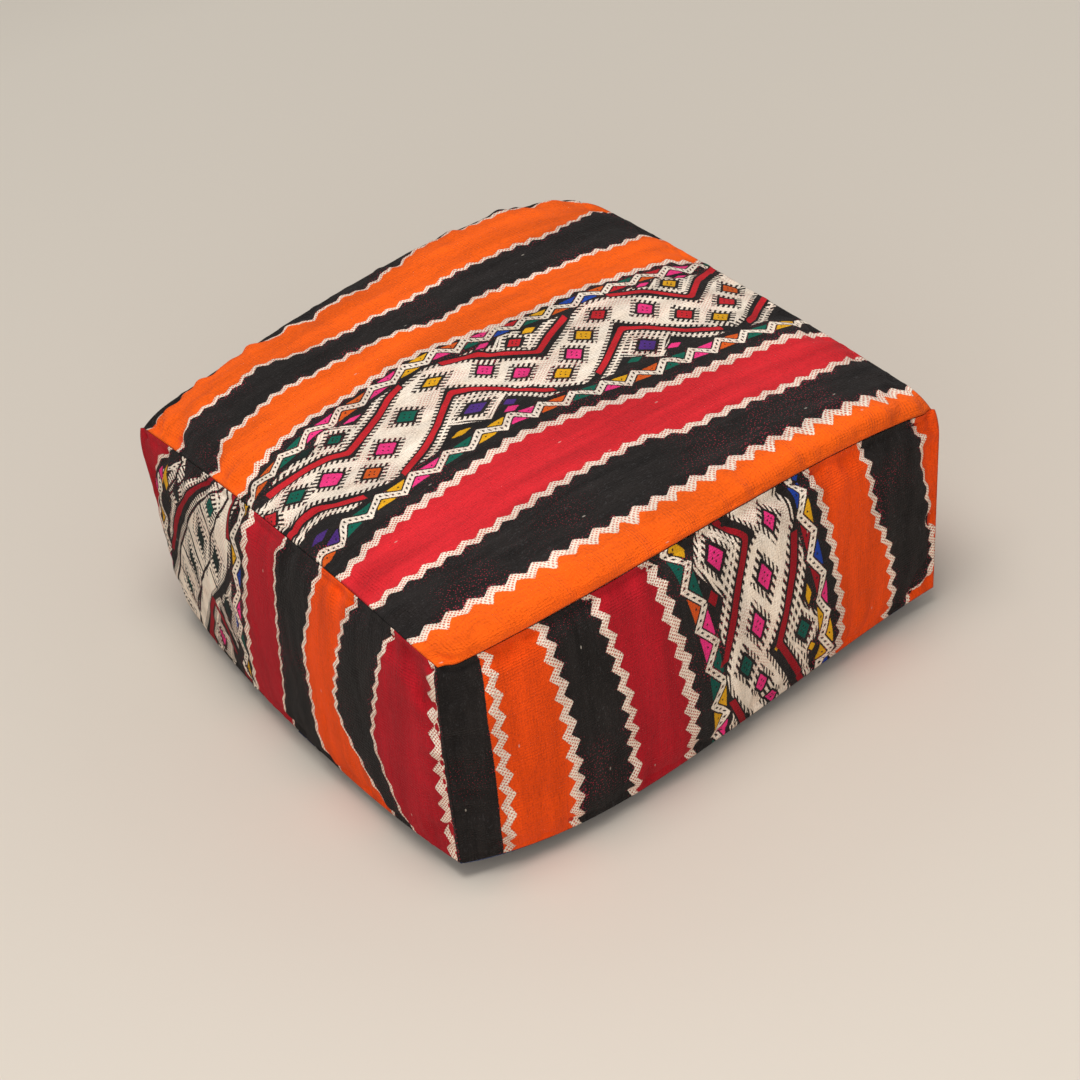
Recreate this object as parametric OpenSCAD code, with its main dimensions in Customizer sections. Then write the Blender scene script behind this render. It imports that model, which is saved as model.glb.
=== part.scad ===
/* [Body] */
// Width across the front, between the upright corner seams at the top
body_w = 600; // [520:1:700]
// Depth from front to back, between the upright corner seams at the top
body_d = 572; // [500:1:690]
// Length of the upright corner seams
seam_h = 250; // [180:1:320]

/* [Stuffed form] */
// Rise of the middle of the top over the seam round it
top_crown = 18; // [6:1:40]
// Rise of the front and back top seams at mid-side over their corners
front_rise = 17; // [0:1:30]
// Rise of the left and right top seams at mid-side over their corners
side_rise = 5; // [0:1:20]
// Outward bow of the front and back top seams at mid-side
front_bow = 16; // [0:1:24]
// Outward bow of the left and right top seams at mid-side
side_bow = 3; // [0:1:20]
// Outward bow of the front and back bottom seams at mid-side
front_foot_bow = 20; // [4:1:40]
// Outward bow of the left and right bottom seams at mid-side
side_foot_bow = 24; // [4:1:40]
// Further swell of the side walls at half height
side_swell = 11; // [3:1:30]
// How far the bottom corners are drawn in
foot_draw = 5; // [0:1:20]
// Height of the bottom corners above the floor
corner_lift = 18; // [12:1:40]
// Height of the zip and of the bottom seams at mid-side above the floor
zip_lift = 8; // [7.5:0.1:11]
// Width of the margin over which the base curves up to its seam
base_margin = 60; // [30:1:90]

/* [Cloth] */
// Thickness of the flat-woven wool
kilim_t = 1.6; // [1:0.1:3]
// Thickness of the canvas base
canvas_t = 1.2; // [0.6:0.1:2]
// Thickness of the cotton liner
liner_t = 0.6; // [0.3:0.1:1.2]
// Parting between two panels at a seam
seam_gap = 0.3; // [0.2:0.05:0.8]
// Clearance between cover, liner, filling and slider
cloth_gap = 0.5; // [0.3:0.05:0.8]

/* [Zip] */
// Distance between the two hems of the base
zip_slit = 9.2; // [9:0.1:12]
// Width of the flat hem beside the slit
hem_w = 13.4; // [11:0.1:20]
// Distance from the zip's middle to where the base is down on the floor
groove_half = 45; // [34:1:60]
// Width of one tape
tape_w = 15; // [12:0.1:18]
// Thickness of the tape
tape_t = 0.7; // [0.4:0.05:1]
// Distance between the two tapes
tape_slit = 1.6; // [1.4:0.05:2]
// Width across both coils
chain_w = 6; // [5:0.1:6.4]
// Thickness of the coils
chain_t = 2.2; // [1.6:0.1:2.6]
// Parting of the two coils
chain_gap = 0.3; // [0.1:0.05:0.4]
// Distance from the side seam to the stops
stop_inset = 22; // [15:1:60]
// Length of a stop
stop_l = 3.5; // [2:0.1:6]

/* [Slider and pull] */
// Length of the slider
slider_l = 12; // [10:0.1:16]
// Thickness of the slider's inner plate
inner_plate_t = 1; // [0.8:0.05:1.6]
// Thickness of the slider's outer plate
outer_plate_t = 1.2; // [0.8:0.05:1.6]
// Running clearance between slider and chain
slide_run = 0.3; // [0.15:0.05:0.4]
// Thickness of the slider's flanges
flange_t = 0.8; // [0.5:0.05:1]
// Length of the post that parts the coils
post_l = 2; // [1.2:0.1:3]
// Width of the post
post_w = 1.2; // [0.8:0.05:1.3]
// Radius of the pull's crossbar
bar_r = 0.65; // [0.5:0.05:0.8]
// Clearance round the crossbar in its bridge
bar_run = 0.15; // [0.1:0.05:0.2]
// Thickness of the bridge that holds the crossbar
bridge_t = 0.9; // [0.7:0.05:1.2]
// Width of the bridge
bridge_w = 2; // [1.4:0.1:2.6]
// Inside length of the bridge
bridge_l = 4.4; // [3.6:0.1:5]
// Length of the pull
pull_l = 27; // [20:0.5:40]
// Width of the pull
pull_w = 7.6; // [6.5:0.1:8.4]
// Thickness of the pull
pull_t = 1.2; // [0.8:0.05:1.2]
// Length of the window at the pull's root
window_l = 6.5; // [5.5:0.1:9]
// Width of each arm beside the window
arm_w = 1.25; // [0.9:0.05:1.6]

/* [Hidden] */
$fn = 48;

// cells of the cloth panels: along a side, up a wall and over one half of the base
cells_along = 18;
cells_up = 8;
// cells of the liner and the filling, along a side and up a wall
core_along = 12;
core_up = 4;
// first of the evenly eased rows that the base shares with the side walls
row_start = 0.28;

// insets of the nested layers from the outer face of the cover
liner_in = kilim_t + cloth_gap;
filling_in = liner_in + liner_t + cloth_gap;

// levels of the zip, up from the floor
hem_top = zip_lift + canvas_t;
chain_low = hem_top - chain_t;
inner_plate_z = hem_top + tape_t + slide_run;
zip_top = inner_plate_z + inner_plate_t + cloth_gap;
outer_plate_z = chain_low - slide_run - outer_plate_t;
bar_z = outer_plate_z - bar_run - bar_r;
// further rise of the liner over the zip
zip_room = zip_top - zip_lift - liner_in;

// shares of the half depth at which the hem starts, the groove's flank starts and the flank ends
base_half_d = body_d / 2 - foot_draw;
hem_at = zip_slit / 2 / base_half_d;
flank_at = (zip_slit / 2 + hem_w) / base_half_d;
floor_at = groove_half / base_half_d;

// places along the zip
tape_end = body_w / 2 - foot_draw + side_foot_bow - kilim_t - cloth_gap;
stop_x = tape_end - stop_inset;
slider_x = stop_x - slide_run - slider_l / 2;
post_x = slider_x + slider_l / 2 - post_l;
flange_in = chain_w / 2 + slide_run;
slider_w = 2 * (flange_in + flange_t);
coil_w = (chain_w - chain_gap) / 2;
stop_gap = 1;

function ease(s) = (s + sin(90 * s)) / 2;
function spread(n) = [for (i = [0 : n]) ease(-1 + 2 * i / n)];
function trimmed(list, by) = [for (t = list) max(-1 + by, min(1 - by, t))];
function bump(t) = 1 - pow(abs(t), 2.4);
function dome(t) = sqrt(1 - pow(abs(t), 2.5));
function swell(t) = pow(1 - pow(abs(t), 2.2), 0.7);
function curl(t, half) = pow(max(0, 1 - (1 - abs(t)) * half / base_margin), 1.6);
function ridge(b) = max(0, min(1, (floor_at - abs(b)) / (floor_at - flank_at)));
function either(p, q) = p + q - p * q;

// How far a wall stands out at share t along it and share c of its height
function stand_out(t, c, bow, foot_bow) =
    (bow + (foot_bow - bow) * (1 - c) / 2) * bump(t) + side_swell * swell(t) * swell(c);

// Height of the top seam or the crowned top over the floor
function top_z(a, b) =
    corner_lift + seam_h + front_rise * bump(a) + side_rise * bump(b)
    - (front_rise + side_rise) / 2 * bump(a) * bump(b) + top_crown * dome(a) * dome(b);

// Height of the base over the floor, with more room over the zip for the inner layers
function base_z(a, b, room) =
    let (ca = curl(a, body_w / 2), cb = curl(b, body_d / 2))
    (zip_lift + (corner_lift - zip_lift) * pow(abs(a * b), 3)) * either(ca, cb)
    + (zip_lift * (1 - ca) + room) * ridge(b);

// A point of the stuffed form, inset k: a, b and c run from -1 to 1 along x, y and z
function skin(a, b, c, k, room = 0) =
    let (
        draw = k + foot_draw * (1 - c) / 2,
        low = base_z(a, b, room) + k,
        high = top_z(a, b) - k
    )
    [
        a * (body_w / 2 - draw) + pow(a, 3) * stand_out(b, c, side_bow, side_foot_bow),
        b * (body_d / 2 - draw) + pow(b, 3) * stand_out(a, c, front_bow, front_foot_bow),
        low + (high - low) * (c + 1) / 2
    ];

// A sheet of cloth over the grid us by vs: place gives a point at inset k, outer face first
module cloth(us, vs, t, place) {
    nu = len(us);
    nv = len(vs);
    inner = nu * nv;
    points = [for (k = [0, t], v = vs, u = us) place(u, v, k)];
    quads = [for (j = [0 : nv - 2], i = [0 : nu - 2])
        let (p = j * nu + i) [p, p + 1, p + nu + 1, p + nu]];
    border = concat(
        [for (i = [0 : nu - 2]) i],
        [for (j = [0 : nv - 2]) j * nu + nu - 1],
        [for (i = [nu - 1 : -1 : 1]) (nv - 1) * nu + i],
        [for (j = [nv - 1 : -1 : 1]) j * nu]
    );
    outside = [for (q = quads) each [[q[0], q[2], q[1]], [q[0], q[3], q[2]]]];
    inside = [for (q = quads) each [
        [q[0] + inner, q[1] + inner, q[2] + inner],
        [q[0] + inner, q[2] + inner, q[3] + inner]
    ]];
    rim = [for (n = [0 : len(border) - 1])
        let (p = border[n], q = border[(n + 1) % len(border)])
        each [[p, q, q + inner], [p, q + inner, p + inner]]];
    polyhedron(points = points, faces = concat(outside, inside, rim), convexity = 6);
}

// The closed stuffed form at inset k, on a coarse grid that keeps the lines of the zip's groove
module stuffed(k) {
    us = spread(core_along);
    side = [for (t = spread(core_along)) if (t > row_start) t];
    half = concat([flank_at, floor_at], side);
    vs = concat([for (n = [len(half) - 1 : -1 : 0]) -half[n]], half);
    cs = spread(core_up);
    nu = len(us) - 1;
    nv = len(vs) - 1;
    nc = len(cs) - 1;
    around = 2 * (nu + nv);
    ring = concat(
        [for (i = [0 : nu - 1]) [us[i], vs[0]]],
        [for (j = [0 : nv - 1]) [us[nu], vs[j]]],
        [for (i = [nu : -1 : 1]) [us[i], vs[nv]]],
        [for (j = [nv : -1 : 1]) [us[0], vs[j]]]
    );
    walls = [for (c = cs, p = ring) skin(p[0], p[1], c, k, zip_room)];
    caps = [for (c = [-1, 1], j = [1 : nv - 1], i = [1 : nu - 1])
        skin(us[i], vs[j], c, k, zip_room)];
    function edge(i, j) =
        j == 0 ? i : i == nu ? nu + j : j == nv ? 2 * nu + nv - i : (around - j) % around;
    function at(level, i, j) =
        i == 0 || i == nu || j == 0 || j == nv
            ? (level == 0 ? 0 : nc * around) + edge(i, j)
            : (nc + 1) * around + (level * (nv - 1) + j - 1) * (nu - 1) + i - 1;
    wall_faces = [for (n = [0 : nc - 1], p = [0 : around - 1])
        let (q = (p + 1) % around, low = n * around, high = low + around)
        each [[low + p, high + q, low + q], [low + p, high + p, high + q]]];
    cap_faces = [for (j = [0 : nv - 1], i = [0 : nu - 1]) each [
        [at(0, i, j), at(0, i + 1, j), at(0, i + 1, j + 1)],
        [at(0, i, j), at(0, i + 1, j + 1), at(0, i, j + 1)],
        [at(1, i, j), at(1, i + 1, j + 1), at(1, i + 1, j)],
        [at(1, i, j), at(1, i, j + 1), at(1, i + 1, j + 1)]
    ]];
    polyhedron(points = concat(walls, caps), faces = concat(wall_faces, cap_faces), convexity = 4);
}

along_x = trimmed(spread(cells_along), seam_gap / body_w);
along_y = trimmed(spread(cells_along), seam_gap / body_d);
up_z = trimmed(spread(cells_up), seam_gap / seam_h);
over_base = concat([hem_at, flank_at, floor_at], [for (t = along_y) if (t > row_start) t]);

module top_panel() {
    color("#d8601c")
    cloth(along_x, along_y, kilim_t, function (u, v, k) skin(u, v, 1, k));
}

module front_panel() {
    color("#a51c26")
    cloth(along_x, up_z, kilim_t, function (u, v, k) skin(u, -1, v, k));
}

module right_panel() {
    color("#2a2524")
    cloth(along_y, up_z, kilim_t, function (u, v, k) skin(1, u, v, k));
}

module back_panel() {
    color("#a51c26")
    cloth(along_x, up_z, kilim_t, function (u, v, k) skin(-u, 1, v, k));
}

module left_panel() {
    color("#2a2524")
    cloth(along_y, up_z, kilim_t, function (u, v, k) skin(-1, -u, v, k));
}

module base_front() {
    color("#1e2a44")
    cloth(along_x, over_base, canvas_t, function (u, v, k) skin(u, -v, -1, k));
}

module base_back() {
    color("#24324f")
    cloth(along_x, over_base, canvas_t, function (u, v, k) skin(-u, v, -1, k));
}

module liner_bag() {
    color("#e9e2d2")
    difference() {
        stuffed(liner_in);
        stuffed(liner_in + liner_t);
    }
}

module filling() {
    color("#f4f1ea")
    stuffed(filling_in);
}

module zip_tape() {
    color("#1c2740")
    translate([-tape_end, tape_slit / 2, hem_top])
    cube([2 * tape_end, tape_w, tape_t]);
}

module zip_coil() {
    color("#303a52")
    translate([-stop_x, chain_gap / 2, chain_low])
    cube([stop_x + post_x - slide_run, coil_w, chain_t]);
}

// Two small clips that the open mouth of the slider meets when the zip is shut
module zip_top_stops() {
    color("#b9b4a6")
    for (side = [0, 1])
        mirror([0, side, 0])
        translate([stop_x, stop_gap, chain_low])
        cube([stop_l, chain_w / 2 - stop_gap, chain_t]);
}

// One clip across both coils at the other end
module zip_bottom_stop() {
    color("#b9b4a6")
    translate([-stop_x - stop_l, -chain_w / 2, chain_low])
    cube([stop_l, chain_w, chain_t]);
}

// A plate of the slider with round ends, pointing along x
module slider_plate(t) {
    linear_extrude(t)
    intersection() {
        square([slider_l, slider_w], center = true);
        circle(r = slider_l / 2 + slide_run);
    }
}

module zip_slider() {
    color("#b9b4a6")
    translate([slider_x, 0, 0]) {
        translate([0, 0, outer_plate_z]) slider_plate(outer_plate_t);
        translate([0, 0, inner_plate_z]) slider_plate(inner_plate_t);
        translate([slider_l / 2 - post_l, -post_w / 2, outer_plate_z])
            cube([post_l, post_w, inner_plate_z + inner_plate_t - outer_plate_z]);
        for (side = [0, 1])
            mirror([0, side, 0])
            translate([-slider_l / 3, flange_in, outer_plate_z])
            cube([slider_l * 2 / 3, flange_t, hem_top - slide_run - outer_plate_z]);
        difference() {
            translate([-bridge_l / 2 - bridge_t, -bridge_w / 2, bar_z - bar_r - bar_run - bridge_t])
                cube([bridge_l + 2 * bridge_t, bridge_w, bridge_t + 2 * (bar_r + bar_run) + outer_plate_t / 2]);
            translate([-bridge_l / 2, -bridge_w, bar_z - bar_r - bar_run])
                cube([bridge_l, 2 * bridge_w, 2 * (bar_r + bar_run)]);
        }
    }
}

// The pull lies back over the coils, with its crossbar in the slider's bridge
module zip_pull() {
    window_w = bridge_w + 1;
    root_w = window_w + 2 * arm_w;
    tip_r = pull_w / 2;
    color("#a89a72")
    translate([slider_x, 0, bar_z]) {
        rotate([90, 0, 0]) cylinder(h = root_w, r = bar_r, center = true);
        translate([0, 0, -pull_t / 2])
        linear_extrude(pull_t)
        difference() {
            union() {
                translate([-window_l - tip_r, -root_w / 2]) square([window_l + tip_r, root_w]);
                translate([-pull_l + tip_r, -tip_r]) square([pull_l - window_l - 2 * tip_r, pull_w]);
                translate([-window_l - tip_r, 0]) circle(r = tip_r);
                translate([-pull_l + tip_r, 0]) circle(r = tip_r);
            }
            translate([-window_l, -window_w / 2]) square([window_l + 1, window_w]);
        }
    }
}

top_panel();
front_panel();
right_panel();
back_panel();
left_panel();
base_front();
base_back();
liner_bag();
filling();
mirror([0, 1, 0]) zip_tape();  // zip_tape_front
zip_tape();  // zip_tape_back
mirror([0, 1, 0]) zip_coil();  // zip_coil_front
zip_coil();  // zip_coil_back
zip_top_stops();
zip_bottom_stop();
zip_slider();
zip_pull();
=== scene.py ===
import math
from functools import partial

import bmesh
import bpy
import numpy as np
from mathutils import Matrix, Vector
from mathutils.kdtree import KDTree


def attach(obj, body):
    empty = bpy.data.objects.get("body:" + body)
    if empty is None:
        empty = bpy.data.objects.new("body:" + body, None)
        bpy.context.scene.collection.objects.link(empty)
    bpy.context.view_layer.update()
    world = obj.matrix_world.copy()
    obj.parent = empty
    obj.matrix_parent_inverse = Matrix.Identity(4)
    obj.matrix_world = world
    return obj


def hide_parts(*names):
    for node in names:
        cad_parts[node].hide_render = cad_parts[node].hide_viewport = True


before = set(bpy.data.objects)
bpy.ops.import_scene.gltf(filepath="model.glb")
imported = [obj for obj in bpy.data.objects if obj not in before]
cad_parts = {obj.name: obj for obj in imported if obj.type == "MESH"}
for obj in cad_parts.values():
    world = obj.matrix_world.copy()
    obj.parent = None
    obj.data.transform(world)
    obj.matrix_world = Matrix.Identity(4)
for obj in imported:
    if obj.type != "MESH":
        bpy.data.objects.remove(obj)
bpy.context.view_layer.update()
print("frame loaded")

mm = 0.001                                    # shapes are worked out in millimetres
fullTurn = 6.28                               # radians, near enough for waves in cloth
weld = 0.01 * mm                              # points nearer than this are one
cellSize, waveSize = 1000, 314                # millimetres from cell to cell, and from wave to wave, at a scale of 1

# The stuffed form, as the photograph shows it: the model's own sizes, and how this one sits out of true
pouf = {
    "width": 600, "depth": 572, "wall": 250,
    "crown": 18, "swell": 11, "footDraw": 5,
    "cornerLift": 18, "zipLift": 8, "baseMargin": 60,
    "hemHalf": 4.6, "hemFlat": 13.4, "grooveHalf": 45,
    "rise": {"front": 24, "back": 15.9, "left": 9, "right": 5.4},
    "topBow": {"front": 18.8, "back": 24.5, "left": -2.8, "right": 2.2},
    "footBow": {"front": 20.3, "back": 20, "left": 13.2, "right": 24},
    "topSkew": {"front": -0.9, "back": 1.03, "left": 0, "right": 0},
    "footSkew": {"front": -1.45, "back": 0, "left": 0.07, "right": 0},
    "cornerShift": {                          # (a, b, c) of a corner, and how far it lies from true
        (-1, -1, -1): (-9, 7.3, 2.2), (1, -1, -1): (2.9, 0.9, 3.4),
        (-1, 1, -1): (2.3, -1.8, -1.2), (-1, -1, 1): (2, 2.2, 3.7),
        (1, -1, 1): (4.3, -9.9, -4.3), (-1, 1, 1): (0.9, -4.3, -6), (1, 1, 1): (-6.2, 5.6, 2.3),
    },
    "powers": {"bow": 2.4, "crown": 2.5, "swell": (2.2, 0.7), "curl": 1.6},    # how squarely each of them rounds off
    "kilim": 1.6, "canvas": 1.2, "liner": 0.6, "gap": 0.5,    # thickness of the cloths, and the room between them
    "grooveLines": (1 / 16, 3 / 16),          # shares of a grid that are laid on the zip's groove
}

# How the kilim is sewn and stuffed, in millimetres
sewing = {
    "seamGap": 0.3,                           # between two panels, so that they never share a face
    "seams": {"top": (4.2, 17), "upright": (2.2, 11), "foot": (1.8, 12)},    # how deep each rolls in, over how much
    "stitchLine": (0.7, 3.5),                 # the sharper pull of the thread itself, and its reach
    "cornerTuck": (4.5, 45),                  # how far a corner is drawn in, and from where
    "lumps": {"rise": 1.3, "from": 40, "lengths": (210, 150, 110, 80, 60, 46), "share": 480},    # of the stuffing
    "gathers": {"rise": 3.4, "reach": 24, "lengths": (23, 31, 44, 71)},    # folds that run in from a seam
    "creases": {"rise": 0.55, "lengths": (17, 23, 31, 43), "bends": (60, 160), "sway": 1.8, "share": 110},
    "calm": 8,                                # all of these die away this near to a seam
    "knot": {"at": (84, 5), "rise": 3, "reach": 9},    # a knot of stuffing caught near one end of the front seam
    "lip": [(-40, 0), (-18, 5), (15, 6), (-4, -10)],    # the top's edge rolls over that seam: its curve, out and up
    "lipEnds": 26,                            # the roll dies away over this much towards a corner
    "lipUneven": {"share": 0.3, "stretch": 3, "seed": 9, "near": (0.35, 90), "inner": 1.75},
    "follow": 1.5,                            # how squarely the front's own edge follows the roll
}

yarnsLitAndShaded = {                                     # the dyed wool: one set of colours for the top, and a darker copy for the walls that is painted shade, as the walls stand in less light
    "top": {"orange": "#FA6214", "crimson": "#D52930", "red": "#C4252C", "pink": "#EE3A80", "green": "#14604E",
            "mustard": "#E3A51C", "purple": "#4E2F7A", "blue": "#2347A0", "rust": "#D65A1E", "pine": "#1E2B28"},
    # the top's colours darkened for the walls: painted shade
    "wall": {"orange": "#F04E10", "crimson": "#B21B26", "red": "#981620", "pink": "#EC347E", "green": "#14564A",
             "mustard": "#E0A41A", "purple": "#46296C", "blue": "#1F3F9A", "rust": "#D2531C", "pine": "#1E2B28"},
}


def hexToLinear(text):
    shares = np.array([int(text[i:i + 2], 16) for i in (1, 3, 5)]) / 255
    return np.where(shares <= 0.04045, shares / 12.92, ((shares + 0.055) / 1.055) ** 2.4)


def colour(text):
    return (*hexToLinear(text), 1)


def addNode(tree, kind, settings, feeds, output=0):    # a node, its settings, and what feeds each socket
    node = tree.nodes.new("ShaderNode" + kind)
    for name, value in settings.items():
        setattr(node, name, value)
    for socket, feed in feeds.items():
        if isinstance(feed, bpy.types.NodeSocket):
            tree.links.new(feed, node.inputs[socket])
        else:
            node.inputs[socket].default_value = feed
    return node.outputs[output] if node.outputs else node


def newMaterial(name):                        # an empty material, and what adds a node to it
    material = bpy.data.materials.new(name)
    material.use_nodes = True
    material.node_tree.nodes.clear()
    return material, partial(addNode, material.node_tree)


# Camera: at the photograph's viewing angle
shot = {"azimuth": -30.61, "elevation": 37.32, "roll": 8.82, "distance": 2.8669,
        "target": (-0.01501, -0.02519, 0.11761), "sensor": 36, "lens": 92.6}


def placeCamera():
    turn, tilt, roll = (math.radians(shot[key]) for key in ("azimuth", "elevation", "roll"))
    back = Vector((math.sin(turn) * math.cos(tilt), -math.cos(turn) * math.cos(tilt), math.sin(tilt)))
    right = (-back).cross(Vector((0, 0, 1))).normalized()
    down = (-back).cross(right)
    across = math.cos(roll) * right + math.sin(roll) * down
    drop = -math.sin(roll) * right + math.cos(roll) * down
    place = Matrix((across, -drop, back)).transposed().to_4x4()
    place.translation = Vector(shot["target"]) + back * shot["distance"]
    camera = bpy.data.objects.new("camera", bpy.data.cameras.new("camera"))
    camera.data.sensor_width = shot["sensor"]
    camera.data.lens = shot["lens"]
    camera.matrix_world = place
    bpy.context.scene.collection.objects.link(camera)
    bpy.context.scene.camera = camera


placeCamera()
print("camera placed")


# The stuffed form: a, b and c run from -1 to 1 along x, y and z, and inset goes in from the cloth's outer face
def bump(t):
    return 1 - np.abs(t) ** pouf["powers"]["bow"]


def dome(t):
    return np.sqrt(np.maximum(0, 1 - np.abs(t) ** pouf["powers"]["crown"]))


def swell(t):
    flat, steep = pouf["powers"]["swell"]
    return np.maximum(0, 1 - np.abs(t) ** flat) ** steep


def fade(distance, reach):                    # from 1 evenly down to 0, where the reach ends
    return np.maximum(0, 1 - distance / reach)


def curl(t, half):
    return fade((1 - np.abs(t)) * half, pouf["baseMargin"]) ** pouf["powers"]["curl"]


def standOut(side, t, c):                     # how far a wall stands out at share t along it
    low = (1 - c) / 2
    top = pouf["topBow"][side] * (1 + pouf["topSkew"][side] * t)
    foot = pouf["footBow"][side] * (1 + pouf["footSkew"][side] * t)
    return (top * (1 - low) + foot * low) * bump(t) + pouf["swell"] * swell(t) * swell(c)


def formAt(a, b, c, inset, room=0):
    front, left = (1 - b) / 2, (1 - a) / 2
    rise = pouf["rise"]
    riseX = rise["front"] * front + rise["back"] * (1 - front)
    riseY = rise["left"] * left + rise["right"] * (1 - left)
    high = pouf["cornerLift"] + pouf["wall"] + pouf["crown"] * dome(a) * dome(b)
    high = high + riseX * bump(a) + riseY * bump(b) - (riseX + riseY) / 2 * bump(a) * bump(b)
    curlA, curlB = curl(a, pouf["width"] / 2), curl(b, pouf["depth"] / 2)
    edge = pouf["zipLift"] + (pouf["cornerLift"] - pouf["zipLift"]) * np.abs(a * b) ** 3
    halfBase = pouf["depth"] / 2 - pouf["footDraw"]
    flank = pouf["hemHalf"] + pouf["hemFlat"]
    groove = np.clip((pouf["grooveHalf"] - np.abs(b) * halfBase) / (pouf["grooveHalf"] - flank), 0, 1)
    low = edge * (curlA + curlB - curlA * curlB) + (pouf["zipLift"] * (1 - curlA) + room) * groove
    draw = inset + pouf["footDraw"] * (1 - c) / 2
    outX = np.where(a < 0, standOut("left", b, c), standOut("right", b, c))
    outY = np.where(b < 0, standOut("front", a, c), standOut("back", a, c))
    x = a * (pouf["width"] / 2 - draw) + a ** 3 * outX
    y = b * (pouf["depth"] / 2 - draw) + b ** 3 * outY
    z = low + inset + (high - low - 2 * inset) * (c + 1) / 2
    points = np.stack([x, y, z], -1)
    firm = 1 - (1 - np.maximum(np.abs(a), np.abs(b)) ** 6) * (1 - c) / 2    # the base lies true on the floor
    straight = firm * (1 - groove * (1 - c) / 2)    # and straight and level along the zip
    level = np.stack([firm, straight, straight], -1)
    for corner, shift in pouf["cornerShift"].items():
        weight = (1 + corner[0] * a) * (1 + corner[1] * b) * (1 + corner[2] * c) / 8
        points = points + weight[..., None] * level * np.array(shift)
    points[..., 2] = np.maximum(points[..., 2], inset)
    return points


# How the filled cover puffs out between its seams: a simulated cloth, whose swells are laid on the panels
puff = {
    "cuts": 24, "start": 2,                   # the cover's grid, and how far inside the cloth's face it starts
    "voxel": 7, "pressure": 4, "frames": 20, "slack": 0.05,
    "hold": 7, "floorHold": 12, "samples": 161,    # held this near a seam, and this near the floor
    "cap": 7,                                 # the furthest that a point may move
    "pitch": 8, "near": 6,                    # a panel reads the swell this often, from so many points
}


def meshFrom(bm, name):
    mesh = bpy.data.meshes.new(name)
    bm.to_mesh(mesh)
    bm.free()
    return mesh


def closedForm(name, cuts, insetAt):          # the whole stuffed form, its grid lines on those of the zip's groove
    bm = bmesh.new()
    bmesh.ops.create_cube(bm, size=2)
    bmesh.ops.subdivide_edges(bm, edges=bm.edges, cuts=cuts, use_grid_fill=True)
    mesh = meshFrom(bm, name)
    a, b, c = readPoints(mesh).T
    half = pouf["depth"] / 2 - pouf["footDraw"]
    near, far = pouf["grooveLines"]
    flank, floorAt = (pouf["hemHalf"] + pouf["hemFlat"]) / half, pouf["grooveHalf"] / half
    b = np.interp(b, (-1, -far, -near, near, far, 1), (-1, -floorAt, -flank, flank, floorAt, 1))
    inset, room = insetAt(a, b, c)
    writePoints(mesh, formAt(a, b, c, inset, room))
    return mesh


def readPoints(mesh):
    flat = np.zeros(len(mesh.vertices) * 3)
    mesh.vertices.foreach_get("co", flat)
    return flat.reshape(-1, 3)


def writePoints(mesh, points):                # points in millimetres
    mesh.vertices.foreach_set("co", (points * mm).ravel())
    mesh.update()


def puffCover():                              # a tree of the cover's points, and how far each has moved
    scene = bpy.context.scene
    plain = closedForm("cover", puff["cuts"], lambda a, b, c: (puff["start"] + 0 * a, 0))
    cover = bpy.data.objects.new("cover", plain)
    scene.collection.objects.link(cover)
    remesh = cover.modifiers.new("remesh", "REMESH")
    remesh.mode = "VOXEL"
    remesh.voxel_size = puff["voxel"] * mm
    cover.data = bpy.data.meshes.new_from_object(cover.evaluated_get(bpy.context.evaluated_depsgraph_get()))
    cover.modifiers.clear()
    start = readPoints(cover.data)
    run = np.linspace(-1, 1, puff["samples"])
    ends = [(p, q) for p in (-1, 1) for q in (-1, 1)]
    edges = [formAt(*np.roll([run, 0 * run + p, 0 * run + q], turn, axis=0), puff["start"])
             for p, q in ends for turn in range(3)]
    seams = KDTree(12 * len(run))
    for index, point in enumerate(np.concatenate(edges) * mm):
        seams.insert(point, index)
    seams.balance()
    held = [index for index, point in enumerate(start)
            if point[2] < puff["floorHold"] * mm or seams.find(point)[2] < puff["hold"] * mm]
    cover.vertex_groups.new(name="seams").add(held, 1, "REPLACE")
    cloth = cover.modifiers.new("cloth", "CLOTH")
    cloth.settings.use_pressure = True
    cloth.settings.uniform_pressure_force = puff["pressure"]
    cloth.settings.vertex_group_mass = "seams"
    cloth.settings.shrink_min = -puff["slack"]
    cloth.settings.effector_weights.gravity = 0
    cloth.point_cache.frame_end = puff["frames"]
    for step in range(1, puff["frames"] + 1):
        scene.frame_set(step)
    settled = cover.evaluated_get(bpy.context.evaluated_depsgraph_get()).to_mesh()
    moved = (readPoints(settled) - start) / mm
    scene.frame_set(1)
    bpy.data.objects.remove(cover)
    far = np.linalg.norm(moved, axis=1, keepdims=True)
    moved = moved * np.minimum(1, puff["cap"] / np.maximum(far, 0.001))
    tree = KDTree(len(start))
    for index, point in enumerate(start):
        tree.insert(point, index)
    tree.balance()
    return tree, moved


covered = puffCover()
print("cover puffed")


def puffOver(plan):                           # how far the puffed cover stands out, at nodes all over a panel
    tree, moved = covered
    spots = [np.linspace(0, extent, int(extent / puff["pitch"]) + 1) for extent in plan["size"]]
    across, up = np.meshgrid(*spots, indexing="ij")
    u, v = across / plan["size"][0] * 2 - 1, up / plan["size"][1] * 2 - 1
    places = formAt(*plan["at"](u, v), puff["start"]) * mm
    faceOut = formAt(*plan["at"](u, v), puff["start"] - 1) - places / mm
    field = np.zeros(u.shape)
    for index in np.ndindex(*u.shape):
        found = tree.find_n(places[index], puff["near"])
        pull = np.array([1 / (far + 0.001) for place, number, far in found])
        shift = sum(moved[number] * share for (place, number, far), share in zip(found, pull)) / pull.sum()
        field[index] = shift @ faceOut[index] / np.linalg.norm(faceOut[index])
    return field - field.mean()


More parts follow.
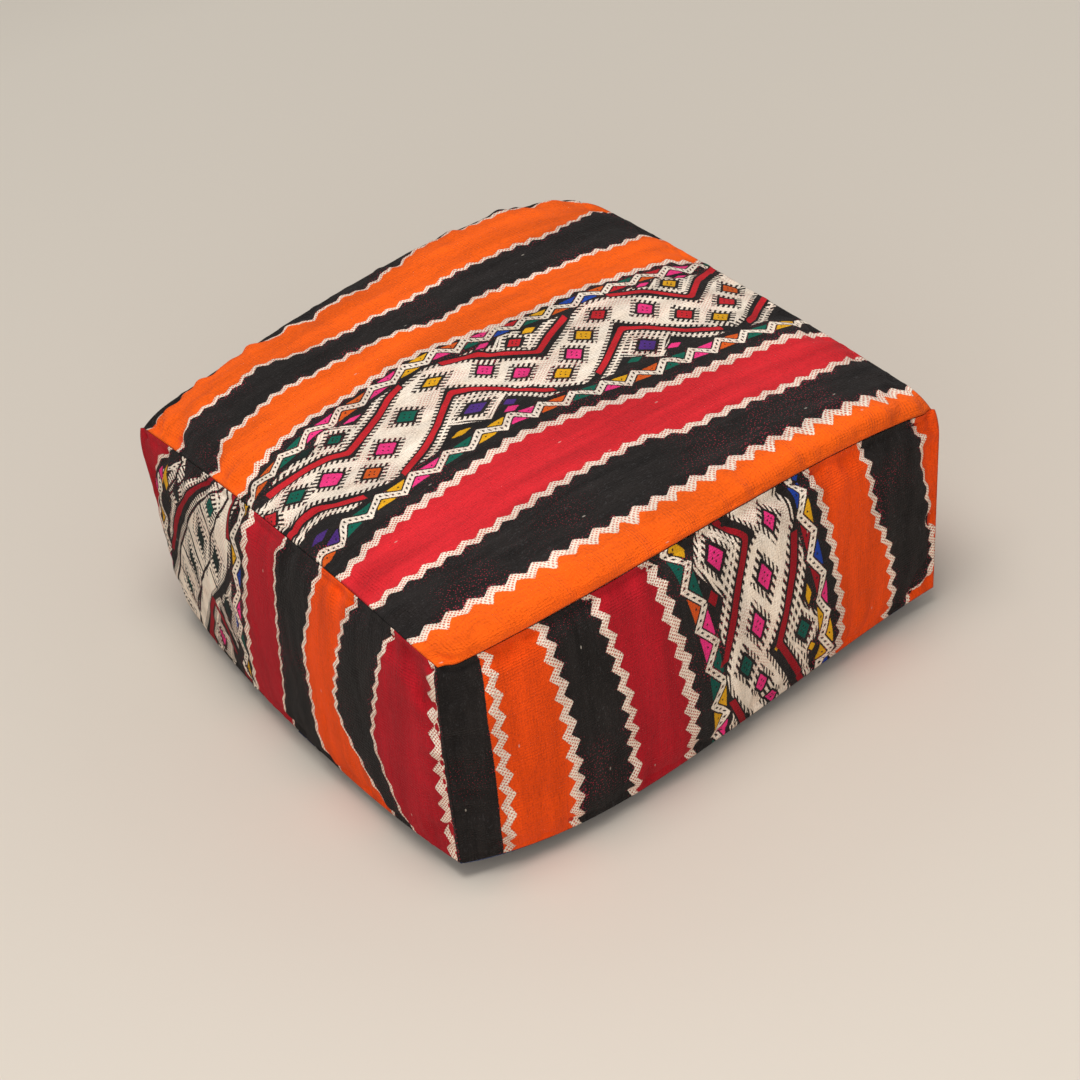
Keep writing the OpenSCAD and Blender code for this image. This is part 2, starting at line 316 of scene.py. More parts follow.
def puffAt(plan, right, down):                # the same at each point, off a smooth surface through the nodes
    total = 0 * right
    if covered is None:
        return total
    field = puffOver(plan)
    padded = np.pad(field, 2, mode="edge")
    parts = []
    for place, extent, count in zip((right, down), plan["size"], field.shape):
        where = place / extent * (count - 1)
        first = np.clip(np.floor(where).astype(int), 0, count - 2)
        t = where - first                     # the four weights of a smooth curve through the nodes
        weights = ((1 - t) ** 3 / 6, (3 * t ** 3 - 6 * t ** 2 + 4) / 6, (-3 * t ** 3 + 3 * t ** 2 + 3 * t + 1) / 6,
                   t ** 3 / 6)
        parts.append((first + 1, weights))
    for i, weightU in enumerate(parts[0][1]):
        for j, weightV in enumerate(parts[1][1]):
            total = total + weightU * weightV * padded[parts[0][0] + i, parts[1][0] + j]
    return total


# The weaver's drafts, in millimetres: "along" is the way the stripes run, "across" counts over them, and a line
# is a few (along, across) stations. "grounds" are the stripes in order, with the patterned one called kilim, and a
# ribbon is a cream zigzag over the line between two of them: tooth is its swing, and beat the length of a tooth.
# In the kilim, two chevrons and two zigzag ladders run beside the pale belt between edgeA and edgeB. "inner",
# "outer" and "sprigs" are diamonds: their middle, their half length and half width, and their yarn.
# "comb" gives the floating threads that fringe a figure: their direction and spacing, on rising and falling edges.
topDraft = {
    "yarn": "top", "lean": 0, "comb": {"rising": (0.81, -0.585, 5.2), "falling": (0.757, 0.653, 5.2), "tape": 5},
    "grounds": ["charcoal", "orange", "charcoal", "orange", "kilim", "crimson", "charcoal", "orange"],
    "ribbons": [
        {"line": [(0, 16), (115, 12), (154, 10), (219, 25), (308, 29), (404, 15), (481, 19), (600, 15)],
         "wide": 5, "tooth": 2.2, "beat": 18},
        {"line": [(4, 90), (38, 77), (135, 60), (181, 77), (285, 87), (385, 79), (500, 90), (596, 58)],
         "wide": 5, "tooth": 2.4, "beat": 19},
        {"line": [(4, 158), (38, 138), (115, 115), (231, 122), (308, 142), (362, 133), (538, 149), (585, 146)],
         "wide": 5.5, "tooth": 2.6, "beat": 19},
        {"line": [(0, 217), (20, 202), (60, 193), (110, 182), (170, 178), (242, 174), (290, 181), (345, 192),
                  (400, 194), (480, 200), (550, 204), (585, 212)], "wide": 7, "tooth": 2.6, "beat": 20},
        {"line": [(0, 405), (30, 399), (60, 391), (130, 382), (180, 376), (240, 366), (300, 377), (350, 388),
                  (400, 398), (450, 402), (520, 404), (600, 408)], "wide": 10, "tooth": 3.4, "beat": 21},
        {"line": [(4, 463), (115, 462), (250, 452), (327, 452), (365, 467), (481, 475), (600, 469)],
         "wide": 8, "tooth": 3.2, "beat": 22},
        {"line": [(0, 529), (308, 531), (385, 533), (600, 538)], "wide": 9, "tooth": 4, "beat": 23},
    ],
    "kilim": {
        "reach": 7.5, "chevron": 8, "outerRow": 13, "margin": 7.5,
        "chevronA": [(0, 240), (40, 243), (70, 246), (95, 252), (112, 261), (130, 253), (150, 243), (170, 231),
                     (190, 218), (212, 208), (242, 200), (262, 208), (280, 213), (300, 222), (320, 238),
                     (345, 262), (370, 246), (405, 228), (432, 215), (460, 227), (490, 247), (505, 263),
                     (525, 283), (540, 270), (560, 253), (600, 232)],
        "runsA": [(18, 212), (262, 405), (460, 610)],
        "edgeA": [(0, 251), (60, 254), (90, 262), (112, 277), (135, 262), (160, 248), (190, 230), (212, 214),
                  (242, 206), (262, 212), (285, 226), (310, 246), (345, 280), (365, 266), (390, 252), (412, 235),
                  (432, 226), (455, 233), (480, 255), (505, 278), (525, 300), (545, 285), (570, 265), (600, 250)],
        "edgeB": [(0, 292), (40, 293), (55, 300), (70, 310), (85, 320), (112, 330), (130, 325), (150, 315),
                  (170, 303), (190, 290), (210, 272), (225, 257), (240, 242), (258, 254), (275, 270), (295, 290),
                  (310, 306), (325, 322), (345, 336), (360, 330), (380, 315), (400, 298), (420, 280), (432, 268),
                  (445, 282), (465, 305), (485, 322), (505, 340), (525, 350), (545, 342), (565, 325), (600, 298)],
        "chevronB": [(0, 310), (20, 304), (40, 305), (50, 311), (60, 320), (85, 334), (112, 345), (130, 333),
                     (145, 325), (165, 315), (185, 302), (205, 287), (225, 270), (240, 257), (258, 265),
                     (275, 280), (290, 297), (305, 315), (318, 326), (345, 345), (365, 335), (385, 322),
                     (410, 303), (432, 286), (445, 298), (460, 312), (480, 333), (500, 347), (525, 360),
                     (545, 352), (560, 345), (575, 333), (600, 314)],
        "runsB": [(-9, 85), (130, 318), (365, 508), (545, 610)],
        "inner": [((2, 272), (10, 10), "red"), ((38, 272), (13, 9), "green"), ((76, 281), (14, 12), "pink"),
                  ((110, 307), (11, 9.5), "rust"), ((142, 284), (13, 11), "pink"), ((187, 257), (13, 11), "green"),
                  ((238, 228), (12, 8), "mustard"), ((289, 247), (10, 10), "pink"), ((313, 277), (11, 10), "pink"),
                  ((341, 309), (11, 9.5), "mustard"), ((369, 290), (10, 11), "pink"),
                  ((397, 269), (10, 11), "mustard"), ((430, 250), (9, 9), "red"), ((471, 274), (9.5, 11), "pink"),
                  ((497, 306), (10, 11), "red"), ((523, 332), (10, 9.5), "mustard"), ((552, 308), (10, 11), "red"),
                  ((580, 283), (10, 11), "rust")],
        "outer": [((115, 231), (9, 7), "green"), ((338, 231), (9, 8), "red"), ((525, 247), (9, 9), "mustard"),
                  ((242, 297), (14, 9), "purple"), ((431, 329), (11, 11), "purple")],
        "sprigs": [((208, 320), (13, 4), "mustard"), ((272, 314), (8, 6), "purple"), ((266, 325), (9, 5), "pink"),
                   ((146, 217), (12, 4), "pink"), ((82, 224), (12, 5), "pine"), ((311, 213), (9, 4.5), "pink"),
                   ((362, 223), (9, 5), "mustard"), ((20, 343), (13, 6), "purple"), ((405, 342), (10, 5), "green"),
                   ((451, 347), (9, 5), "pink"), ((500, 234), (9, 4), "pink"), ((548, 238), (9, 4), "pink")],
        "ladderA": {"line": [(0, 228), (20, 222), (60, 214), (100, 204), (150, 198), (200, 191), (250, 188),
                             (300, 196), (350, 204), (400, 209), (450, 214), (500, 218), (550, 222), (600, 232)],
                    "beats": [(0, -0.5), (42, 0.5), (126, 2.5), (254, 5.5), (390, 9.5), (600, 15.5)],
                    "swing": 6.5, "wide": 8.5, "eye": 1.4, "cap": 7.5,
                    "above": "rust green pink rust pink mustard rust pink red mustard blue rust green red pink green",
                    "below": "rust green pink rust pink mustard pink green blue green rust blue red rust pink none"},
        "ladderB": {"line": [(0, 368), (50, 357), (100, 352), (150, 346), (200, 341), (250, 338), (300, 346),
                             (350, 358), (400, 368), (450, 372), (520, 375), (600, 384)],
                    "beats": [(0, -0.2), (29, 0.5), (243, 5.5), (408, 10.5), (575, 15.5), (610, 16.5)],
                    "swing": 8, "wide": 9.5, "eye": 1.5, "cap": 8,
                    "above": "purple green mustard pink green mustard pink rust green mustard rust green pink rust"
                             " green mustard",
                    "below": "rust green mustard pink green mustard pink rust green pink rust green pink rust green"
                             " mustard"},
    },
}

frontDraft = {
    "yarn": "wall", "lean": 0.17, "comb": {"rising": (0.997, 0.075, 4.2), "falling": (0.895, 0.445, 5.6), "tape": 7},
    "grounds": ["orange", "orange", "charcoal", "crimson", "kilim", "orange", "charcoal", "orange"],
    "edging": {"line": [(0, 42), (250, 40)], "side": -1},
    "ribbons": [
        {"line": [(0, 47), (60, 51), (120, 49), (180, 50), (250, 44)], "wide": 9, "tooth": 3.6, "beat": 23},
        {"line": [(0, 102), (60, 111), (100, 115), (180, 119), (250, 116)], "wide": 10, "tooth": 4, "beat": 22},
        {"line": [(0, 158), (60, 170), (120, 180), (180, 184), (250, 185)], "wide": 9, "tooth": 4, "beat": 22},
        {"line": [(0, 223), (40, 232), (80, 239), (120, 249), (180, 254), (250, 259)],
         "wide": 12, "tooth": 4, "beat": 22},
        {"line": [(0, 423), (40, 430), (80, 437), (120, 447), (160, 455), (200, 457), (250, 458)],
         "wide": 8, "tooth": 3, "beat": 22},
        {"line": [(0, 494), (60, 496), (90, 502), (130, 518), (160, 528), (200, 532), (250, 534)],
         "wide": 7, "tooth": 3.4, "beat": 22},
        {"line": [(0, 565), (26, 573), (72, 577), (117, 580), (140, 587), (162, 593), (188, 598), (212, 599),
                  (226, 596), (235, 586), (242, 574), (250, 556)], "wide": 7, "tooth": 3, "beat": 22},
    ],
    "kilim": {
        "reach": 7, "chevron": 8, "outerRow": 12, "margin": 6,
        "chevronA": [(0, 306), (34, 334), (100, 314), (150, 299), (178, 288), (200, 306), (250, 330)],
        "runsA": [(-9, 152), (202, 260)],
        "edgeA": [(0, 326), (20, 341), (36, 353), (48, 341), (60, 335), (80, 328), (120, 318), (155, 307),
                  (170, 305), (190, 309), (215, 322), (250, 346)],
        "edgeB": [(0, 376), (20, 386), (45, 389), (70, 382), (100, 376), (140, 365), (160, 357), (172, 349),
                  (185, 358), (220, 378), (250, 392)],
        "chevronB": [(0, 388), (35, 403), (58, 394), (100, 388), (130, 380), (170, 369), (200, 387), (250, 412)],
        "runsB": [(58, 260)],
        "inner": [((31, 365), (13, 7), "pink"), ((86, 353), (16, 8.5), "pink"), ((133, 341), (16, 8.5), "pink"),
                  ((172, 326), (14, 8), "green"), ((210, 350), (14, 8), "pink"), ((240, 368), (10, 7), "pink")],
        "outer": [((36, 296), (16, 9), "pink"), ((175, 404), (13, 8.5), "green")],
        "sprigs": [((76, 289), (10, 6), "red"), ((10, 262), (9, 5), "mustard"), ((135, 408), (14, 4), "mustard"),
                   ((174, 366), (4, 3), "mustard"), ((205, 418), (6, 5), "mustard")],
        "ladderA": {"line": [(0, 250), (50, 263), (100, 277), (150, 286), (200, 291), (250, 296)],
                    "beats": [(-20, -0.5), (27, 0.5), (76, 1.5), (123, 2.5), (170, 3.5), (213, 4.5), (260, 5.5)],
                    "swing": 8.5, "wide": 8.5, "eye": 1.4, "cap": 9,
                    "above": "green rust pink green mustard green", "below": "mustard green pink green mustard pink"},
        "ladderB": {"line": [(0, 402), (50, 409), (100, 418), (150, 430), (200, 437), (250, 443)],
                    "beats": [(-26, -0.5), (22, 0.5), (70, 1.5), (123, 2.5), (176, 3.5), (226, 4.5), (275, 5.5)],
                    "swing": 6.5, "wide": 8.5, "eye": 1.4, "cap": 8,
                    "above": "blue red red mustard mustard none", "below": "blue mustard blue pink mustard blue"},
    },
}

leftDraft = {
    "yarn": "wall", "lean": 0, "comb": {"rising": (0.6, -0.8, 4.6), "falling": (0.6, 0.8, 4.6), "tape": 6},
    "grounds": ["crimson", "kilim", "crimson", "charcoal", "orange", "charcoal", "crimson", "crimson"],
    "edging": {"line": [(0, 567), (250, 567)], "side": 1},
    "ribbons": [
        {"line": [(0, 80), (15, 56), (35, 42), (55, 30), (80, 24), (110, 25), (140, 22), (170, 12), (200, 2),
                  (250, -15)], "wide": 8, "tooth": 2.4, "beat": 22},
        {"line": [(0, 242), (60, 239), (80, 235), (110, 227), (140, 223), (170, 217), (200, 210), (250, 203)],
         "wide": 8, "tooth": 2.6, "beat": 21},
        {"line": [(0, 308), (20, 298), (60, 294), (100, 291), (140, 286), (180, 281), (220, 269), (250, 260)],
         "wide": 4, "tooth": 1.6, "beat": 20},
        {"line": [(0, 373), (40, 361), (80, 348), (110, 343), (190, 341), (220, 348), (250, 360)],
         "wide": 5.5, "tooth": 2, "beat": 20},
        {"line": [(0, 438), (30, 423), (60, 412), (100, 402), (130, 393), (150, 394), (175, 411), (200, 430),
                  (222, 446), (250, 462)], "wide": 5.5, "tooth": 2.6, "beat": 18},
        {"line": [(0, 502), (30, 485), (60, 477), (90, 469), (120, 460), (145, 454), (170, 465), (200, 479),
                  (250, 495)], "wide": 5.5, "tooth": 2, "beat": 20},
        {"line": [(0, 570), (12, 565), (40, 562), (250, 562)], "wide": 13, "tooth": 4.6, "beat": 22},
    ],
    "kilim": {
        "reach": 7, "chevron": 7, "outerRow": 12, "margin": 5,
        "chevronA": [(0, 160), (18, 141), (40, 121), (62, 101), (90, 80), (120, 60), (142, 45), (200, 6),
                     (250, -20)],
        "runsA": [(-9, 145)],
        "edgeA": [(0, 174), (40, 137), (90, 96), (142, 62), (200, 24), (250, -4)],
        "edgeB": [(0, 201), (50, 207), (75, 200), (100, 184), (125, 161), (145, 139), (170, 121), (200, 99),
                  (230, 78), (250, 64)],
        "chevronB": [(0, 204), (48, 207), (90, 202), (120, 178), (148, 143), (190, 118), (220, 99), (250, 85)],
        "runsB": [(-9, 48), (148, 260)],
        "branch": ((148, 143), (206, 168)),
        "spindle": True,
        "outlines": [
            [(0, 183), (27, 154), (54, 127), (77, 108), (100, 92), (119, 77), (170, 48), (230, 18)],
            [(35, 147), (65, 163), (50, 176), (23, 188), (0, 190)], [(81, 110), (127, 128), (98, 155), (65, 163)],
            [(108, 152), (136, 168), (90, 195), (66, 203)], [(118, 82), (158, 108), (127, 128)],
            [(158, 58), (200, 86), (158, 108)], [(0, 118), (33, 104), (66, 70), (100, 50), (130, 40)],
            [(0, 96), (30, 96), (58, 72)], [(158, 108), (180, 92), (240, 60)], [(136, 168), (180, 184), (240, 196)]],
        "inner": [((30, 170), (11, 6), "green"), ((78, 140), (16, 6.5), "pine"), ((89, 170), (15, 6), "pine"),
                  ((127, 104), (17, 6.5), "pine"), ((172, 74), (13, 6), "green"), ((216, 46), (12, 6), "pine")],
        "outer": [((48, 98), (10, 5), "pine"), ((140, 180), (13, 6), "pine"), ((206, 132), (12, 7), "pink")],
        "sprigs": [((45, 73), (24, 6), "mustard"), ((38, 60), (9, 5), "pink")],
        "ladderA": {"line": [(0, 112), (15, 86), (35, 66), (55, 52), (80, 42), (110, 40), (140, 34), (170, 22),
                             (200, 12), (250, -5)], "beats": [(0, 0), (250, 6)],
                    "swing": 5, "wide": 8, "eye": 1.4, "cap": 7,
                    "above": "none pink mustard green pink green", "below": "none mustard none green pink green"},
        "ladderB": {"line": [(0, 224), (60, 221), (110, 210), (150, 204), (200, 193), (250, 186)],
                    "beats": [(0, 0), (250, 6)], "swing": 5, "wide": 8, "eye": 1.4, "cap": 7,
                    "above": "none mustard none blue none red", "below": "mustard none blue pink green mustard"},
    },
}


# What the figures share, in millimetres
figures = {
    "ease": {"ribbon": 10, "kilim": 3},       # how far a line's corners are eased
    "ring": 2.6,                              # black round a lozenge
    "dot": 1.2,                               # radius of the dark dots in diamonds and notches
    "dots": ((-0.3, 0), (0.3, 0), (0, -0.36), (0, 0.36)),    # where a diamond has them, as shares of its size
    "spindle": {"reach": 5, "ring": 0.8, "row": (8.2, 0.9)},    # the left wall's slim diamonds and their dotted row
    "border": 1.9,                            # black between a ladder's tape and its notches
    # a notch fills a ladder's bend: its body narrows to the tip, and two horns run along the tape
    "notch": {"run": 32, "body": 0.25, "horn": 0.36, "hornDeep": 2.6, "narrowFrom": 3, "narrowBy": 0.5, "tip": 40},
    "chevronRing": 1.8, "sprigRing": 2,       # black round these figures
    "row": (1.4, 5.6), "halo": (8.5, 1.4, 5),    # a cream row by a chevron, and round an outer diamond, with its comb
    "belt": (7.5, 5.4),                       # how far out the belt clears the ground, and how far its comb reaches
    "outline": (1.6, 2.4),                    # half width of the pale and the dark pass of an outline
}


def wave(turns):                              # a zigzag between -1 and 1, lowest at whole turns
    return 1 - 4 * np.abs(turns - np.floor(turns) - 0.5)


def follow(stations, along, ease):            # the line through the stations, its corners eased
    spots, heights = zip(*stations)
    return np.mean([np.interp(along + shift, spots, heights) for shift in np.linspace(-ease, ease, 5)], axis=0)


class Weave:                                  # what lies on top at each point, as depths in millimetres
    def __init__(self, along, across, yarn, lean):
        self.along, self.across, self.yarn, self.lean = along, across, yarn, lean
        self.cream, self.comb, self.black = (np.full(along.shape, -9.0) for _ in range(3))
        self.thread = np.tile(hexToLinear(yarn["red"]), along.shape + (1,))
        self.lace = np.zeros(along.shape)     # 1 in the open-woven ribbons
        self.rising = np.zeros(along.shape)   # 1 where the comb's teeth stand on a rising edge, 2 on a tape

    def lay(self, cream, comb):               # plain cream, and how far its comb of floating threads reaches
        self.cream = np.maximum(self.cream, cream)
        self.comb = np.maximum(self.comb, comb)

    def clear(self, cream, comb):
        self.cream = np.minimum(self.cream, -cream)
        self.comb = np.minimum(self.comb, -comb)

    def motif(self, inside, name, where=True):    # a coloured figure let into the black
        self.black = np.where(where, np.minimum(self.black, -inside), self.black)
        self.thread[where & (inside > -2)] = hexToLinear(self.yarn[name])

    def diamond(self, spot, size):            # depth inside a leaning diamond of that half length and half width
        run = self.along - spot[0]
        far = np.abs(run) / size[0] + np.abs(self.across - spot[1] - self.lean * run) / size[1]
        return (1 - far) * 0.72 * min(size)


def weaveLozenge(cloth, plan, spot, size, name):     # ringed in black with a comb edge, four dark eyes in it
    inside = cloth.diamond(spot, size)
    slim = figures["spindle"] if "spindle" in plan else None
    reach, ring = (slim["reach"], slim["ring"]) if slim else (plan["reach"], figures["ring"])
    cloth.clear(inside + reach, inside + ring)
    if slim:                                  # and a dotted row further out
        cloth.cream = np.minimum(cloth.cream, np.abs(inside + slim["row"][0]) - slim["row"][1])
    quarter = (cloth.along - spot[0]) * (cloth.across - spot[1]) < 0
    cloth.rising = np.where(inside > -reach - 0.5, quarter, cloth.rising)
    cloth.motif(inside, name)
    for reach, drop in figures["dots"]:
        far = np.hypot(cloth.along - spot[0] - reach * size[0], cloth.across - spot[1] - drop * size[1])
        cloth.black = np.maximum(cloth.black, figures["dot"] - far)


def weaveLadder(cloth, plan):                 # a zigzag tape with a row of eyes, and coloured notches in its bends
    base = follow(plan["line"], cloth.along, figures["ease"]["ribbon"])
    look = figures["notch"]
    tapeEdge = plan["wide"] / 2 + figures["border"]
    turns = np.interp(cloth.along, *zip(*plan["beats"]))
    off = cloth.across - base - plan["swing"] * wave(turns)
    tape = plan["wide"] / 2 - np.abs(off)
    cloth.lay(np.minimum(tape, np.abs(off) - plan["eye"]), tape)
    cloth.rising = np.where(tape > -1, 2, cloth.rising)
    near = np.abs(cloth.across - base) < 3 * plan["swing"]
    for way, names, lead in ((-1, plan["above"], 0), (1, plan["below"], 0.5)):
        number = np.floor(turns + lead).astype(int)
        deep = way * off - tapeEdge
        phase = np.abs(turns + lead - number - 0.5)
        horns = np.minimum(np.minimum(deep, look["hornDeep"] - deep), (look["horn"] - phase) * look["run"])
        body = (look["body"] - phase) * look["run"] - look["narrowBy"] * np.maximum(0, deep - look["narrowFrom"])
        body = np.minimum(deep, body)
        notch = np.minimum(np.maximum(body, horns), plan["cap"] - way * (cloth.across - base))
        for index, name in enumerate(names.split()):
            if name != "none":
                cloth.motif(notch, name, near & (number == index))
        middle = (plan["cap"] - plan["swing"] + tapeEdge) / 2
        far = np.hypot(phase * look["tip"], way * (cloth.across - base) - middle)
        cloth.black = np.maximum(cloth.black, figures["dot"] - far)
    return base


def weaveChevron(cloth, plan, line, run):
    inside = np.minimum(plan["chevron"] / 2 - np.abs(cloth.across - line),
                        np.minimum(cloth.along - run[0], run[1] - cloth.along))
    ringed = inside + figures["chevronRing"]
    cloth.clear(ringed, ringed)
    cloth.motif(inside, "red")


def weaveOutline(cloth, stations):            # a single dark pass between two runs of cream
    pale, dark = figures["outline"]
    for start, end in zip(stations, stations[1:]):
        run, drop = end[0] - start[0], end[1] - start[1]
        share = ((cloth.along - start[0]) * run + (cloth.across - start[1]) * drop) / (run ** 2 + drop ** 2)
        share = np.clip(share, 0, 1)
        far = np.hypot(cloth.along - start[0] - share * run, cloth.across - start[1] - share * drop)
        cloth.clear(pale - far, pale - far)
        cloth.black = np.maximum(cloth.black, dark - far)


def weaveKilim(cloth, plan):
    along, across, ease = cloth.along, cloth.across, figures["ease"]["kilim"]
    lines = {key: follow(plan[key], along, ease) for key in ("chevronA", "edgeA", "edgeB", "chevronB")}
    climbs = [follow(plan[key], along + 4, ease) > follow(plan[key], along - 4, ease) for key in ("edgeA", "edgeB")]
    cloth.rising = np.where(across < (lines["edgeA"] + lines["edgeB"]) / 2, *climbs) * 1.0
    baseA, baseB = weaveLadder(cloth, plan["ladderA"]), weaveLadder(cloth, plan["ladderB"])
    taped = cloth.rising == 2
    roomA = across - baseA - plan["ladderA"]["swing"] - plan["margin"]
    roomB = baseB - plan["ladderB"]["swing"] - plan["margin"] - across
    for way, chevron, room in ((-1, "chevronA", roomA), (1, "chevronB", roomB)):
        off = np.abs(across - lines[chevron] - way * plan["outerRow"])
        cloth.lay(*(np.minimum(half - off, room) for half in figures["row"]))
    for spot, size, name in plan["outer"]:
        below = spot[1] > np.interp(spot[0], *zip(*plan["edgeB"]))
        room = np.minimum(roomB + 4, across - lines["chevronB"] - plan["outerRow"] - 1) if below else np.minimum(
            roomA + 4, lines["chevronA"] - across - plan["outerRow"] - 1)
        out, *halves = figures["halo"]
        off = np.abs(-cloth.diamond(spot, size) - out)
        cloth.lay(*(np.minimum(half - off, room) for half in halves))
        weaveLozenge(cloth, plan, spot, size, name)
    for spot, size, name in plan["sprigs"]:
        inside = cloth.diamond(spot, size)
        ringed = inside + figures["sprigRing"]
        cloth.clear(ringed, ringed)
        cloth.motif(inside, name)
    body = np.minimum(across - lines["edgeA"], lines["edgeB"] - across)
    belt = body > -figures["belt"][0]
    cloth.cream = np.where(belt, body, cloth.cream)
    cloth.comb = np.where(belt, body + figures["belt"][1], cloth.comb)
    for spot, size, name in plan["inner"]:
        weaveLozenge(cloth, plan, spot, size, name)
    for stations in plan.get("outlines", []):
        weaveOutline(cloth, stations)
    for letter in "AB":
        for run in plan["runs" + letter]:
            weaveChevron(cloth, plan, lines["chevron" + letter], run)
    if "branch" in plan:
        start, end = plan["branch"]
        weaveChevron(cloth, plan, np.interp(along, *zip(start, end)), (start[0], end[0]))
    cloth.rising = np.where(taped, 2, cloth.rising)


def weaveAt(along, across, draft):            # the whole draft, ribbon by ribbon and stripe by stripe
    cloth = Weave(along, across, yarnsLitAndShaded[draft["yarn"]], draft["lean"])
    ease = figures["ease"]["ribbon"]
    lines = [follow(ribbon["line"], along, ease) + ribbon["tooth"] * wave(along / ribbon["beat"])
             for ribbon in draft["ribbons"]]
    edges = [np.full(along.shape, -99.0), *lines, np.full(along.shape, 999.0)]    # the outer two are past the cloth
    for low, high, ground in zip(edges, edges[1:], draft["grounds"]):
        inside = np.minimum(across - low, high - across)
        if ground in ("charcoal", "kilim"):   # black lies over red yarn, which comes through in flecks
            cloth.black = np.maximum(cloth.black, inside)
        else:
            cloth.thread[inside > 0] = hexToLinear(cloth.yarn[ground])
    weaveKilim(cloth, draft["kilim"])
    for ribbon, line in zip(draft["ribbons"], lines):
        inside = ribbon["wide"] / 2 - np.abs(across - line)
        cloth.lay(inside, inside)
        cloth.lace[inside > -1.5] = 1
    if "edging" in draft:                     # a straight black edge beyond which no ribbon goes
        edging = draft["edging"]
        beyond = edging["side"] * (across - follow(edging["line"], along, ease))
        cloth.clear(beyond, beyond)
        cloth.black = np.maximum(cloth.black, beyond)
    return cloth


# Kilim: flat-woven wool, dyed in the yarn, so colours meet in crisp steps and the surface has ribs and no gloss
kilimLook = {
    "rib": 3.4,                               # mm from warp rib to warp rib; 2 on the real one, drawn to show
    "pick": 2,                                # mm from weft to weft; under 1 on the real one
    "eyePitch": 3,                            # mm between the openings of a ribbon
    "fuzz": 1.1,                              # mm of wander along the edge of a figure
    "bead": 2.7,                              # mm from one float of the weft to the next; about 2 on the real one
    "fleckCell": 3.3, "lintCell": 70,         # mm between red flecks in the black, and between bits of lint
    "roughness": 0.95, "sheen": 0.03, "relief": 1.6,
    # blotches to the metre: a figure's edge, loose hairs, combed fibres, streaks, cream tones, dye lots, wear, flecks
    "wander": 750, "hair": 620, "combed": 260, "streak": 90, "tone": 60, "dyeLot": 38, "worn": 22, "patch": 11,
    "black": ("#131110", "#312C2A"), "fleck": "#B42E44", "fibre": "#5E5C5C",
    "cream": ("#FCF0E0", "#F0D9C0"), "lint": "#E4D8C8", "underCream": "#C24A2A",
}


